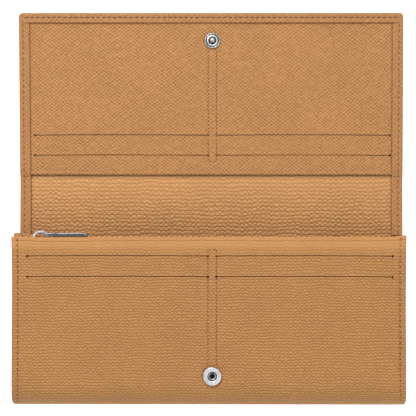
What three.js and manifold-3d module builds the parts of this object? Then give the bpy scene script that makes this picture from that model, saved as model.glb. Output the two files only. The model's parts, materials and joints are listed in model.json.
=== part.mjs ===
// A long flap wallet lying open, in millimetres, +Z up.
//
// +X runs along the wallet's width, -Y is the pocket body and +Y the opened flap. The origin is the
// bottom centre of the open wallet. The cover is one hide in the real wallet. Here it is split at its
// two fold lines and at the bottom fold, so that every stretch can turn with its own moving group.
import * as THREE from 'three';
import { mergeVertices } from 'three/addons/utils/BufferGeometryUtils.js';
import Module from 'manifold-3d';

const wasm = await Module();
wasm.setup();

// Driving dimensions of the whole wallet
const BODY_WIDTH = 195;
const COVER_WIDTH = 194.4;
const SPINE_WIDTH = 192.8;
const BODY_SHIFT = -0.4;
const COVER_SHIFT = 0.7;
const OPEN_LENGTH = 197.2;
const BODY_THICKNESS = 20.4;
const REAR_FOLD_Y = -10.2;
const FLAP_FOLD_Y = 11.3;
const FOLD_GAP = 0.3;
const GLUE_GAP = 0.1;
const TOOL_OVERRUN = 1;

// Thicknesses of the sheets
const LEATHER = 1.1;
const BOARD = 0.6;
const LINING = 0.5;
const SLIP = 0.2;
const CARD_PANEL = 0.8;
const WALL = 0.6;
const GUSSET = 0.5;
const POCKET_BASE = 1.2;

// Where the body's sheets stop at the mouth and at the sides
const REAR_WALL_EDGE_Y = -13;
const FRONT_EDGE_Y = -15;
const SIDES_EDGE_Y = -16;
const SHEET_MARGIN = 1;
const BOARD_FROM_FOLD = 4.5;
const GUSSET_INSET = 0.5;
const GUSSET_DEPTH = 6;
const SIDE_STRIP_INSET = 1;
const SIDE_STRIP_WIDTH = 1.5;

// Heights of the three spaces between the sheets, from the back to the front
const REAR_NOTE_SPACE = 4.6;
const COIN_SPACE = 4.5;
const FRONT_NOTE_SPACE = 4.5;

// Card slots, the same on the flap and on the front
const SLOT_WIDTH = 0.5;
const SLOT_END_X = 89.8;
const SLOT_SPACING = 10.2;
const SNAP_X = 1.3;
const DIVIDER_HALF = 2.1;
const SLIP_FROM_DIVIDER = 3.8;
const SLIP_END_X = 91.5;
const SLIP_DEPTH = 56;
const SLIP_HEAD = 3;

// Turned edge of the cover
const SIDE_HEM = 5.2;
const FAR_HEM = 4.6;
const HEM_LIP = 0.7;
const HEM_STARTS = 2.5;
const CORNER_RADIUS = 1.8;

// Front of the body
const FRONT_ROUND = 12;
const BOTTOM_ROUND = 8.2;
const FRONT_SLOT_Y = -24.6;
const FRONT_SLIP_RISE = 0.5;
const LINING_PAST_ROUND = 4;
const FLAP_PANEL_EDGE_Y = 16.5;
const FLAP_SLOT_Y = 26.3;

// Snap fastener
const STUD_Y = 84.6;
const SNAP_RADIUS = 3.9;
const SOCKET_RADIUS = 4.55;
const BALL_RADIUS = 1.4;
const BALL_HEIGHT = 1.95;
const BORE_RADIUS = 1.95;
const SOCKET_TUBE_RADIUS = 2.6;
const STUD_HOLE_RADIUS = 1.6;
const SOCKET_HOLE_RADIUS = 2.9;
const SNAP_SEAT = 0.05;
const RIVET_PLAY = 0.15;
const LATHE_STEPS = 24;

// Zip of the coin pocket
const ZIP_Y = -17.5;
const ZIP_HALF_LENGTH = 85.5;
const TEETH_PITCH = 4;
const TEETH_THICK = 0.9;
const TOOTH_TIP = 1;
const TOOTH_SLOPE = 0.3;
const TOOTH_RISE = 0.35;
const TAPE_THICK = 0.5;
const TAPE_TAIL = 4;
const STOP_GAP = 0.2;
const STOP_LENGTH = 2;
const STOP_THICK = 1.4;
const STOP_WIDTH = 3.2;
const SLIDER_X = -83.9;
const SLIDER_LENGTH = 9;
const SLIDER_WIDTH = 3.8;
const OUTER_PLATE = 0.8;
const INNER_PLATE = 0.6;
const WEB_WIDTH = 0.4;
const JOIN_OVERLAP = 0.1;
const BRIDGE_WIDTH = 2;
const PULLER_LENGTH = 21.8;
const PULLER_WIDTH = 3.8;
const PULLER_THICK = 1.9;
const PULLER_BAR_RADIUS = 0.42;
const PULLER_WINDOW = [0.5, 6.4];
const PULLER_EYE_RADIUS = 0.45;
const PULLER_EYE_FROM_END = 2.2;

// Heights worked out from the sheets
const yEnd = OPEN_LENGTH / 2;
const halfCover = COVER_WIDTH / 2;
const halfSpine = SPINE_WIDTH / 2;
const halfBody = BODY_WIDTH / 2;
const coverDividerX = SNAP_X - COVER_SHIFT;
const bodyDividerX = SNAP_X - BODY_SHIFT;
const coverTop = LEATHER;
const boardBottom = coverTop + GLUE_GAP;
const boardTop = boardBottom + BOARD;
const liningBottom = boardTop + GLUE_GAP;
const liningTop = liningBottom + LINING;
const rearWallBottom = liningTop + REAR_NOTE_SPACE;
const rearWallTop = rearWallBottom + WALL;
const frontWallBottom = rearWallTop + COIN_SPACE;
const frontWallTop = frontWallBottom + WALL;
const frontLiningBottom = frontWallTop + FRONT_NOTE_SPACE;
const frontLiningTop = frontLiningBottom + LINING;
const frontPanelTop = BODY_THICKNESS;
const frontPanelBottom = frontPanelTop - LEATHER;
const zipZ = (rearWallTop + frontWallBottom) / 2;
const bottomCentreY = -yEnd + BOTTOM_ROUND;
const pocketBottomY = bottomCentreY - POCKET_BASE / 2;
const pocketBaseTop = pocketBottomY + POCKET_BASE;
const innerX = halfSpine - LEATHER - FOLD_GAP;

const LEATHER_FINISH = { color: 0xc28b5a, roughness: 0.62, metalness: 0 };
const LINING_FINISH = { color: 0xb88452, roughness: 0.7, metalness: 0 };
const BOARD_FINISH = { color: 0xa89a86, roughness: 0.9, metalness: 0 };
const SLIP_FINISH = { color: 0x9c744c, roughness: 0.85, metalness: 0 };
const TAPE_FINISH = { color: 0xa4764a, roughness: 0.9, metalness: 0 };
const METAL_FINISH = { color: 0xc9cbd0, roughness: 0.22, metalness: 1 };

function piece(name, geometry, finish) {
  const made = new THREE.Mesh(geometry, new THREE.MeshStandardMaterial(finish));
  made.name = name;
  return made;
}

// A flat sheet or block, given by its limits along each axis
function slabGeometry([x0, x1], [y0, y1], [z0, z1]) {
  const geometry = new THREE.BoxGeometry(x1 - x0, y1 - y0, z1 - z0);
  geometry.translate((x0 + x1) / 2, (y0 + y1) / 2, (z0 + z1) / 2);
  return geometry;
}

function slab(name, xs, ys, zs, finish) {
  return piece(name, slabGeometry(xs, ys, zs), finish);
}

// An outline in X and Y, raised from one height to another
function raised(shape, [z0, z1], curveSegments = 6) {
  const geometry = new THREE.ExtrudeGeometry(shape, { depth: z1 - z0, bevelEnabled: false, curveSegments });
  geometry.translate(0, 0, z0);
  return geometry;
}

// An outline in Y and Z, run along X
function runAlongX(shape, [x0, x1], curveSegments = 6) {
  const geometry = raised(shape, [x0, x1], curveSegments);
  geometry.rotateX(Math.PI / 2);
  geometry.rotateZ(Math.PI / 2);
  return geometry;
}

// An outline in X and Z, run along Y
function runAlongY(shape, [y0, y1], curveSegments = 6) {
  const geometry = raised(shape, [-y1, -y0], curveSegments);
  geometry.rotateX(Math.PI / 2);
  return geometry;
}

function outline(points) {
  return new THREE.Shape(points.map(([a, b]) => new THREE.Vector2(a, b)));
}

function solid(geometry) {
  const bare = geometry.clone();
  bare.deleteAttribute('normal');
  bare.deleteAttribute('uv');
  const merged = mergeVertices(bare);
  return new wasm.Manifold(new wasm.Mesh({
    numProp: 3,
    vertProperties: new Float32Array(merged.attributes.position.array),
    triVerts: new Uint32Array(merged.index.array),
  }));
}

function geometryOf(manifold) {
  const { vertProperties, triVerts } = manifold.getMesh();
  const geometry = new THREE.BufferGeometry();
  geometry.setAttribute('position', new THREE.BufferAttribute(vertProperties, 3));
  geometry.setIndex(new THREE.BufferAttribute(triVerts, 1));
  geometry.computeVertexNormals();
  return geometry;
}

function cut(geometry, tools) {
  return geometryOf(tools.reduce((body, tool) => body.subtract(solid(tool)), solid(geometry)));
}

function join(geometries) {
  return geometryOf(geometries.map(solid).reduce((body, next) => body.add(next)));
}

// A turned part on a vertical axis, from [radius, height] points
function turned(points, x, y) {
  const profile = points.map(([radius, height]) => new THREE.Vector2(radius, height));
  const geometry = new THREE.LatheGeometry(profile, LATHE_STEPS);
  geometry.rotateX(Math.PI / 2);
  geometry.translate(x, y, 0);
  return geometry;
}

function cylinderAt(radius, x, y, [z0, z1]) {
  const geometry = new THREE.CylinderGeometry(radius, radius, z1 - z0, LATHE_STEPS);
  geometry.rotateX(Math.PI / 2);
  geometry.translate(x, y, (z0 + z1) / 2);
  return geometry;
}

function sideName(side) {
  return side < 0 ? 'left' : 'right';
}

// Two slots on each side of the divider, as cutting tools, in rows from firstY
function slotTools(dividerX, firstY, step, [z0, z1]) {
  const tools = [];
  for (const side of [-1, 1]) {
    for (const row of [0, 1]) {
      const y = firstY + row * step;
      const inner = dividerX + side * DIVIDER_HALF;
      const outer = side * SLOT_END_X;
      const xs = [Math.min(inner, outer), Math.max(inner, outer)];
      tools.push(slabGeometry(
        xs,
        [y - SLOT_WIDTH / 2, y + SLOT_WIDTH / 2],
        [z0 - TOOL_OVERRUN, z1 + TOOL_OVERRUN],
      ));
    }
  }
  return tools;
}

// Four card slips behind a slotted panel: each hangs from just outside its slot and runs into the pocket
function cardSlips(prefix, dividerX, firstY, step, into, layers) {
  const slips = [];
  for (const side of [-1, 1]) {
    for (const row of [0, 1]) {
      const inner = dividerX + side * SLIP_FROM_DIVIDER;
      const outer = side * SLIP_END_X;
      const xs = [Math.min(inner, outer), Math.max(inner, outer)];
      const slotY = firstY + row * step;
      const ends = [slotY - into * SLIP_HEAD, slotY + into * SLIP_DEPTH];
      const ys = [Math.min(...ends), Math.max(...ends)];
      const name = `${prefix}_card_slip_${row + 1}_${sideName(side)}`;
      slips.push(slab(name, xs, ys, [layers[row], layers[row] + SLIP], SLIP_FINISH));
    }
  }
  return slips;
}

// Cover leather whose side edges are turned up and in over the sheets it holds, and its far edge if asked
function hemmedCover([y0, y1], lipBottom, hem) {
  const height = lipBottom + HEM_LIP;
  const halfFar = hem.far ? halfCover : halfSpine;
  const shape = new THREE.Shape();
  shape.moveTo(-halfSpine, y0);
  shape.lineTo(halfSpine, y0);
  if (hem.far) {
    shape.lineTo(halfFar, y1 - CORNER_RADIUS);
    shape.absarc(halfFar - CORNER_RADIUS, y1 - CORNER_RADIUS, CORNER_RADIUS, 0, Math.PI / 2);
    shape.absarc(-halfFar + CORNER_RADIUS, y1 - CORNER_RADIUS, CORNER_RADIUS, Math.PI / 2, Math.PI);
  } else {
    shape.lineTo(halfFar, y1);
    shape.lineTo(-halfFar, y1);
  }
  const above = [coverTop, height + TOOL_OVERRUN];
  const nearY = y0 - TOOL_OVERRUN;
  const farY = y1 + TOOL_OVERRUN;
  const across = [-halfCover - TOOL_OVERRUN, halfCover + TOOL_OVERRUN];
  const windowXs = [-halfFar + SIDE_HEM, halfFar - SIDE_HEM];
  const window = slabGeometry(windowXs, [nearY, hem.far ? y1 - FAR_HEM : farY], above);
  const grooveXs = [-halfSpine + LEATHER, halfSpine - LEATHER];
  const groove = slabGeometry(grooveXs, [nearY, hem.far ? y1 - LEATHER : farY], [coverTop, lipBottom]);
  const tools = [window, groove, slabGeometry(across, [nearY, hem.from], above)];
  if (!hem.far) {
    tools.push(slabGeometry(across, [hem.to, farY], above));
  }
  return cut(raised(shape, [0, height], 4), tools);
}

// ---- Back: the fixed group -------------------------------------------------------------------------

function bottomFold() {
  const shape = new THREE.Shape();
  shape.absarc(bottomCentreY, BOTTOM_ROUND, BOTTOM_ROUND, Math.PI, 1.5 * Math.PI);
  shape.absarc(bottomCentreY, BOTTOM_ROUND, BOTTOM_ROUND - LEATHER, 1.5 * Math.PI, Math.PI, true);
  return piece('bottom_fold', runAlongX(shape, [-halfBody, halfBody], 8), LEATHER_FINISH);
}

// A strip folded inwards once, closing the side between two sheets
function gusset(name, side, [z0, z1], ys) {
  const outerX = side * (halfCover - GUSSET_INSET);
  const foldX = outerX - side * GUSSET_DEPTH;
  const middle = (z0 + z1) / 2;
  const thick = side * GUSSET;
  const shape = outline([
    [outerX, z0],
    [foldX, middle - GUSSET / 2],
    [foldX, middle + GUSSET / 2],
    [outerX, z1],
    [outerX, z1 - GUSSET],
    [foldX + 2 * thick, middle],
    [outerX, z0 + GUSSET],
  ]);
  return piece(name, runAlongY(shape, ys), LINING_FINISH);
}

function backGroup() {
  const group = new THREE.Group();
  const backYs = [bottomCentreY + GLUE_GAP, REAR_FOLD_Y - FOLD_GAP];
  const innerYs = [bottomCentreY + SHEET_MARGIN, REAR_FOLD_Y - FOLD_GAP];
  group.add(slab('back_cover', [-halfCover, halfCover], backYs, [0, coverTop], LEATHER_FINISH));
  group.add(bottomFold());
  group.add(slab('back_board', [-innerX, innerX], innerYs, [boardBottom, boardTop], BOARD_FINISH));
  group.add(slab('back_lining', [-halfCover, halfCover], innerYs, [liningBottom, liningTop], LINING_FINISH));
  for (const side of [-1, 1]) {
    const zs = [liningTop + GLUE_GAP, rearWallBottom - GLUE_GAP];
    group.add(gusset(`rear_gusset_${sideName(side)}`, side, zs, [pocketBottomY, FRONT_EDGE_Y]));
  }
  return group;
}

// ---- Spine and flap --------------------------------------------------------------------------------

function spineGroup() {
  const group = new THREE.Group();
  const ys = [REAR_FOLD_Y + FOLD_GAP, FLAP_FOLD_Y - FOLD_GAP];
  const hem = { far: false, from: ys[0] + HEM_STARTS, to: ys[1] - HEM_STARTS };
  const cover = hemmedCover(ys, liningTop + GLUE_GAP, hem);
  const liningZs = [boardBottom + GLUE_GAP, liningTop];
  group.add(piece('spine_cover', cover, LEATHER_FINISH));
  group.add(slab('spine_lining', [-innerX, innerX], ys, liningZs, LEATHER_FINISH));
  return group;
}

const flapSlipLayers = [liningTop + GLUE_GAP, liningTop + 2 * GLUE_GAP + SLIP];
const flapPanelBottom = flapSlipLayers[1] + SLIP + GLUE_GAP;
const flapPanelTop = flapPanelBottom + CARD_PANEL;

function flapCardPanel() {
  const zs = [flapPanelBottom, flapPanelTop];
  const sheet = slabGeometry([-innerX, innerX], [FLAP_PANEL_EDGE_Y, yEnd - LEATHER - FOLD_GAP], zs);
  const through = [zs[0] - TOOL_OVERRUN, zs[1] + TOOL_OVERRUN];
  const hole = cylinderAt(STUD_HOLE_RADIUS, coverDividerX, STUD_Y, through);
  const slots = slotTools(coverDividerX, FLAP_SLOT_Y, SLOT_SPACING, zs);
  return piece('flap_card_panel', cut(sheet, [...slots, hole]), LEATHER_FINISH);
}

function snapStud() {
  const base = flapPanelTop + SNAP_SEAT;
  const rim = base + 0.8;
  return piece('snap_stud', turned([
    [0, base],
    [SNAP_RADIUS, base],
    [SNAP_RADIUS, rim - 0.3],
    [SNAP_RADIUS - 0.4, rim],
    [BALL_RADIUS + 0.1, rim],
    [BALL_RADIUS - 0.25, rim + 0.45],
    [BALL_RADIUS, rim + 1.1],
    [BALL_RADIUS * 0.75, rim + 1.7],
    [0, rim + BALL_HEIGHT],
  ], coverDividerX, STUD_Y), METAL_FINISH);
}

function studRivet() {
  const flangeRadius = 3;
  const shankRadius = 1.2;
  const flange = [liningTop + RIVET_PLAY, flapPanelBottom - RIVET_PLAY];
  return piece('stud_rivet', turned([
    [0, flange[0]],
    [flangeRadius, flange[0]],
    [flangeRadius, flange[1]],
    [shankRadius, flange[1]],
    [shankRadius, flapPanelTop - SNAP_SEAT],
    [0, flapPanelTop - SNAP_SEAT],
  ], coverDividerX, STUD_Y), METAL_FINISH);
}

function flapGroup() {
  const group = new THREE.Group();
  const ys = [FLAP_FOLD_Y + FOLD_GAP, yEnd];
  const sheetYs = [FLAP_FOLD_Y + SHEET_MARGIN - GLUE_GAP * 2, yEnd - LEATHER - FOLD_GAP];
  const boardYs = [FLAP_FOLD_Y + BOARD_FROM_FOLD + FOLD_GAP, sheetYs[1]];
  const xs = [-innerX, innerX];
  const hem = { far: true, from: ys[0] + HEM_STARTS };
  group.add(piece('flap_cover', hemmedCover(ys, flapPanelTop + GLUE_GAP, hem), LEATHER_FINISH));
  group.add(slab('flap_board', xs, boardYs, [boardBottom, boardTop], BOARD_FINISH));
  group.add(slab('flap_lining', xs, sheetYs, [liningBottom, liningTop], LINING_FINISH));
  group.add(...cardSlips('flap', coverDividerX, FLAP_SLOT_Y, SLOT_SPACING, 1, flapSlipLayers));
  group.add(flapCardPanel());
  group.add(snapStud());
  group.add(studRivet());
  return group;
}

// ---- Coin pocket -----------------------------------------------------------------------------------

const teethInner = 0.45;
const teethDepth = 0.75;
const tapeInner = teethInner + teethDepth + GLUE_GAP;

// One row of teeth: a straight root with a tooth at every pitch, pointing at the other row
function teethRow(name, side) {
  const root = side * (teethInner + teethDepth);
  const gap = side * (teethInner + TOOTH_RISE);
  const tip = side * teethInner;
  const start = SLIDER_X + SLIDER_LENGTH / 2 - 2 * TEETH_PITCH;
  const first = start + (side < 0 ? 0 : TEETH_PITCH / 2);
  const count = Math.floor((ZIP_HALF_LENGTH - start) / TEETH_PITCH);
  const points = [[start - 1, root], [start - 1, gap]];
  for (let index = 0; index < count; index += 1) {
    const x = first + index * TEETH_PITCH;
    const tipX = x + TOOTH_SLOPE;
    points.push([x, gap], [tipX, tip], [tipX + TOOTH_TIP, tip], [tipX + TOOTH_TIP + TOOTH_SLOPE, gap]);
  }
  points.push([first + count * TEETH_PITCH, root]);
  const shape = outline(points.map(([x, z]) => [x, zipZ + z]));
  return piece(name, runAlongY(shape, [ZIP_Y - TEETH_THICK / 2, ZIP_Y + TEETH_THICK / 2]), METAL_FINISH);
}

function zipTape(name, side) {
  const halfTape = ZIP_HALF_LENGTH + TAPE_TAIL;
  const zs = [zipZ + side * tapeInner, zipZ + side * (COIN_SPACE / 2 - GLUE_GAP)].sort((a, b) => a - b);
  return slab(name, [-halfTape, halfTape], [ZIP_Y - TAPE_THICK / 2, ZIP_Y + TAPE_THICK / 2], zs, TAPE_FINISH);
}

// A clip across both tapes, beyond the last tooth
function zipStop(side) {
  const near = ZIP_HALF_LENGTH + TAPE_TAIL + STOP_GAP;
  const xs = [side * near, side * (near + STOP_LENGTH)].sort((a, b) => a - b);
  const ys = [ZIP_Y - STOP_THICK / 2, ZIP_Y + STOP_THICK / 2];
  const zs = [zipZ - STOP_WIDTH / 2, zipZ + STOP_WIDTH / 2];
  return slab(`zip_stop_${sideName(side)}`, xs, ys, zs, METAL_FINISH);
}

function coinPocketSide(side) {
  const outer = halfCover - SIDE_STRIP_INSET;
  const xs = [side * (outer - SIDE_STRIP_WIDTH), side * outer].sort((a, b) => a - b);
  const ys = [pocketBaseTop + GLUE_GAP, SIDES_EDGE_Y];
  const zs = [rearWallTop + GLUE_GAP, frontWallBottom - GLUE_GAP];
  return slab(`coin_pocket_side_${sideName(side)}`, xs, ys, zs, LINING_FINISH);
}

function coinPocketGroup() {
  const group = new THREE.Group();
  const wallXs = [-halfCover, halfCover];
  const rearYs = [pocketBaseTop + GLUE_GAP, REAR_WALL_EDGE_Y];
  const frontYs = [pocketBaseTop + GLUE_GAP, FRONT_EDGE_Y];
  const baseYs = [pocketBottomY, pocketBaseTop];
  const baseZs = [rearWallBottom, frontWallTop];
  group.add(slab('coin_pocket_rear_wall', wallXs, rearYs, [rearWallBottom, rearWallTop], LEATHER_FINISH));
  group.add(slab('coin_pocket_front_wall', wallXs, frontYs, [frontWallBottom, frontWallTop], LEATHER_FINISH));
  group.add(slab('coin_pocket_base', wallXs, baseYs, baseZs, LINING_FINISH));
  const gussetZs = [frontWallTop + GLUE_GAP, frontLiningBottom - GLUE_GAP];
  for (const side of [-1, 1]) {
    const name = `front_gusset_${sideName(side)}`;
    group.add(coinPocketSide(side));
    group.add(gusset(name, side, gussetZs, [pocketBottomY, SIDES_EDGE_Y]));
    group.add(zipStop(side));
  }
  group.add(zipTape('zip_tape_rear', -1));
  group.add(zipTape('zip_tape_front', 1));
  group.add(teethRow('zip_teeth_rear', -1));
  group.add(teethRow('zip_teeth_front', 1));
  return group;
}

// ---- Zip slider and its puller ---------------------------------------------------------------------

const plateBottomY = ZIP_Y + TEETH_THICK / 2 + FOLD_GAP;
const plateTopY = plateBottomY + OUTER_PLATE;
const bridge = {
  x: SLIDER_X,
  y: plateTopY - JOIN_OVERLAP,
  outer: [SLIDER_LENGTH / 2, 4.1],
  inner: [3.3, 2.9],
};
const pivot = { x: bridge.x + 1.4, y: bridge.y + 1.7 };

function sliderGroup() {
  const half = SLIDER_LENGTH / 2;
  const xs = [SLIDER_X - half, SLIDER_X + half];
  const plateZs = [zipZ - SLIDER_WIDTH / 2, zipZ + SLIDER_WIDTH / 2];
  const innerTop = ZIP_Y - TEETH_THICK / 2 - FOLD_GAP;
  const webYs = [innerTop - JOIN_OVERLAP, plateBottomY + JOIN_OVERLAP];
  const web = slabGeometry(xs, webYs, [zipZ - WEB_WIDTH / 2, zipZ + WEB_WIDTH / 2]);
  const innerPlate = slabGeometry(xs, [innerTop - INNER_PLATE, innerTop], plateZs);
  const outerPlate = slabGeometry(xs, [plateBottomY, plateTopY], plateZs);
  const arch = new THREE.Shape();
  arch.absellipse(bridge.x, bridge.y, ...bridge.outer, 0, Math.PI);
  arch.absellipse(bridge.x, bridge.y, ...bridge.inner, Math.PI, 0, true);
  const bridgeGeometry = raised(arch, [zipZ - BRIDGE_WIDTH / 2, zipZ + BRIDGE_WIDTH / 2], 12);
  const group = new THREE.Group();
  group.add(piece('zip_slider', join([web, innerPlate, outerPlate, bridgeGeometry]), METAL_FINISH));
  return group;
}

// The puller is a strip folded at its far end. Its near end is a bar that passes under the slider's bridge,
// and the window beside the bar lets the puller swing right over the bridge to lie the other way.
function pullerGroup() {
  const [windowFrom, windowTo] = PULLER_WINDOW.map((along) => pivot.x + along);
  const windowHalf = BRIDGE_WIDTH / 2 + FOLD_GAP;
  const nearX = pivot.x - PULLER_BAR_RADIUS;
  const farX = pivot.x + PULLER_LENGTH;
  const round = PULLER_THICK / 2;
  const zs = [zipZ - PULLER_WIDTH / 2, zipZ + PULLER_WIDTH / 2];
  const shape = new THREE.Shape();
  shape.moveTo(nearX, pivot.y - PULLER_BAR_RADIUS);
  shape.lineTo(windowFrom, pivot.y - PULLER_BAR_RADIUS);
  shape.lineTo(windowTo, pivot.y - round);
  shape.lineTo(farX - round, pivot.y - round);
  shape.absarc(farX - round, pivot.y, round, -Math.PI / 2, Math.PI / 2);
  shape.lineTo(windowTo, pivot.y + round);
  shape.lineTo(windowFrom, pivot.y + PULLER_BAR_RADIUS);
  shape.lineTo(nearX, pivot.y + PULLER_BAR_RADIUS);
  const eye = new THREE.Path();
  eye.absarc(farX - PULLER_EYE_FROM_END, pivot.y, PULLER_EYE_RADIUS, 0, 2 * Math.PI, true);
  shape.holes.push(eye);
  const windowYs = [pivot.y - PULLER_THICK, pivot.y + PULLER_THICK];
  const window = slabGeometry([windowFrom, windowTo], windowYs, [zipZ - windowHalf, zipZ + windowHalf]);
  const group = new THREE.Group();
  group.add(piece('zip_puller', cut(raised(shape, zs, 8), [window]), METAL_FINISH));
  return group;
}

// ---- Front section ---------------------------------------------------------------------------------

const socketY = REAR_FOLD_Y + FLAP_FOLD_Y - STUD_Y;
const frontCentre = { y: -yEnd + FRONT_ROUND, z: frontPanelTop - FRONT_ROUND };
const frontArcEnd = Math.PI - 0.01;

function frontPanel() {
  const shape = new THREE.Shape();
  shape.moveTo(FRONT_EDGE_Y, frontPanelBottom);
  shape.lineTo(FRONT_EDGE_Y, frontPanelTop);
  shape.absarc(frontCentre.y, frontCentre.z, FRONT_ROUND, Math.PI / 2, frontArcEnd);
  shape.absarc(frontCentre.y, frontCentre.z, FRONT_ROUND - LEATHER, frontArcEnd, Math.PI / 2, true);
  const sheet = runAlongX(shape, [-halfBody, halfBody], 10);
  const zs = [frontPanelBottom, frontPanelTop];
  const through = [zs[0] - TOOL_OVERRUN, zs[1] + TOOL_OVERRUN];
  const hole = cylinderAt(SOCKET_HOLE_RADIUS, bodyDividerX, socketY, through);
  const slots = slotTools(bodyDividerX, FRONT_SLOT_Y, -SLOT_SPACING, zs);
  return piece('front_panel', cut(sheet, [...slots, hole]), LEATHER_FINISH);
}

function snapSocket() {
  const base = frontPanelTop + SNAP_SEAT;
  const top = frontPanelTop + 1.2;
  const foot = frontPanelBottom - RIVET_PLAY;
  return piece('snap_socket', turned([
    [BORE_RADIUS, foot],
    [SOCKET_TUBE_RADIUS, foot],
    [SOCKET_TUBE_RADIUS, base],
    [SOCKET_RADIUS - 0.3, base],
    [SOCKET_RADIUS, base + 0.35],
    [SOCKET_RADIUS, base + 0.7],
    [SOCKET_RADIUS - 0.5, top],
    [BORE_RADIUS + 0.5, top],
    [BORE_RADIUS, top - 0.4],
    [BORE_RADIUS, foot],
  ], bodyDividerX, socketY), METAL_FINISH);
}

function socketSpring() {
  const inner = BALL_RADIUS + 0.1;
  const outer = BORE_RADIUS - 0.1;
  const zs = [frontPanelTop + 0.3, frontPanelTop + 0.6];
  return piece('socket_spring', turned([
    [inner, zs[0]],
    [outer, zs[0]],
    [outer, zs[1]],
    [inner, zs[1]],
    [inner, zs[0]],
  ], bodyDividerX, socketY), METAL_FINISH);
}

function socketRivet() {
  const flangeRadius = 3.4;
  const shankRadius = 1.7;
  const shankTop = frontPanelBottom + 0.25;
  const flange = [frontPanelBottom - 0.6, frontPanelBottom - 0.25];
  return piece('socket_rivet', turned([
    [0, flange[0]],
    [flangeRadius, flange[0]],
    [flangeRadius, flange[1]],
    [shankRadius, flange[1]],
    [shankRadius, shankTop],
    [0, shankTop],
  ], bodyDividerX, socketY), METAL_FINISH);
}

function frontGroup() {
  const group = new THREE.Group();
  const slipLayers = [frontLiningTop + GLUE_GAP + FRONT_SLIP_RISE, frontLiningTop + GLUE_GAP];
  const liningXs = [-halfCover, halfCover];
  const liningYs = [frontCentre.y - LINING_PAST_ROUND, FRONT_EDGE_Y - FOLD_GAP];
  const liningZs = [frontLiningBottom, frontLiningTop];
  group.add(frontPanel());
  group.add(slab('front_lining', liningXs, liningYs, liningZs, LINING_FINISH));
  group.add(...cardSlips('front', bodyDividerX, FRONT_SLOT_Y, -SLOT_SPACING, -1, slipLayers));
  group.add(snapSocket());
  group.add(socketSpring());
  group.add(socketRivet());
  return group;
}

// The cover's own middle and the pocket body's lie a little apart across the width
function shifted(group, x) {
  group.position.x = x;
  return group;
}

const wallet = new THREE.Group();
for (const group of [spineGroup(), flapGroup()]) {
  wallet.add(shifted(group, COVER_SHIFT));
}
for (const group of [backGroup(), coinPocketGroup(), sliderGroup(), pullerGroup(), frontGroup()]) {
  wallet.add(shifted(group, BODY_SHIFT));
}

export default wallet;
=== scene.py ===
"""The looks of a long flap wallet in pebbled tan leather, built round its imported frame.

Lengths inside the script are in millimetres and become metres when a mesh is made. +X is the wallet's width,
-Y the pocket body, +Y the opened flap and +Z up.
"""
import json
import math
import random

import bmesh
import bpy
import numpy as np
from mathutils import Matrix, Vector


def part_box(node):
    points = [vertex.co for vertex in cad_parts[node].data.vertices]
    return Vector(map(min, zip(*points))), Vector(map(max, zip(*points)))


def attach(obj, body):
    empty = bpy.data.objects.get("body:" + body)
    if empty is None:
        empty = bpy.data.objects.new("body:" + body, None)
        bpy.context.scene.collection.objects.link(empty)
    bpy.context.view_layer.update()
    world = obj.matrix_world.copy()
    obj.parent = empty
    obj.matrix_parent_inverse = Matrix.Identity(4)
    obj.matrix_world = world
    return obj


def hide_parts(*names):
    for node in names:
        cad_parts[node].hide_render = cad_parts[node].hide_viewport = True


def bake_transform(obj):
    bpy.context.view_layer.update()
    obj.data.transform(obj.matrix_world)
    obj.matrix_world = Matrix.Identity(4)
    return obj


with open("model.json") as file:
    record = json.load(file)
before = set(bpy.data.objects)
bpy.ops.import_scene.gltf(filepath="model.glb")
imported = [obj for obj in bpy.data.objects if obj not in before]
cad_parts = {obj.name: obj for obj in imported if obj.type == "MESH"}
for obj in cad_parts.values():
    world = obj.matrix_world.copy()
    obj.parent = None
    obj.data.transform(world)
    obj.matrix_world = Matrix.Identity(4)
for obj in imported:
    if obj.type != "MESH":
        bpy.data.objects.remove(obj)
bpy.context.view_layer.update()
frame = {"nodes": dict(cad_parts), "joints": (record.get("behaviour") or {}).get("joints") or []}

MM = 0.001
UV_LAYER = "surface"
SHADE = "shade"
CALM = "calm"


# ---- Places read from the frame --------------------------------------------------------------------

class Box:
    """A node's limits at rest, in millimetres."""

    def __init__(self, node):
        low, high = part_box(node)
        self.x0, self.y0, self.z0 = (value / MM for value in low)
        self.x1, self.y1, self.z1 = (value / MM for value in high)
        self.x = (self.x0 + self.x1) / 2
        self.y = (self.y0 + self.y1) / 2
        self.z = (self.z0 + self.z1) / 2


def pivot_of(name):
    """A joint's pivot, in millimetres."""
    pivot = next(joint["pos_m"] for joint in frame["joints"] if joint["name"] == name)
    return [value / MM for value in pivot]


def mid_point(y, z=0.0):
    """A place on the wallet's middle plane, in metres."""
    return (0, y * MM, z * MM)


def slot_ends(section, left_gap, right_gap):
    """X of the outer ends of a section's card slots, each a gap inside its card slips."""
    left, right = (Box(f"{section}_card_slip_1_{side}") for side in ("left", "right"))
    return left.x0 + left_gap, right.x1 - right_gap


FLAP = Box("flap_cover")
SPINE = Box("spine_cover")
FLAP_PANEL = Box("flap_card_panel")
LINING = Box("spine_lining")
BACK = Box("back_cover")
FRONT = Box("front_panel")
BOTTOM = Box("bottom_fold")
REAR_WALL = Box("coin_pocket_rear_wall")
STUD = Box("snap_stud")
SOCKET = Box("snap_socket")
PULLER = Box("zip_puller")
REAR_FOLD_Y = pivot_of("spine_fold")[1]
FLAP_FOLD_Y = pivot_of("flap_fold")[1]

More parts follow.
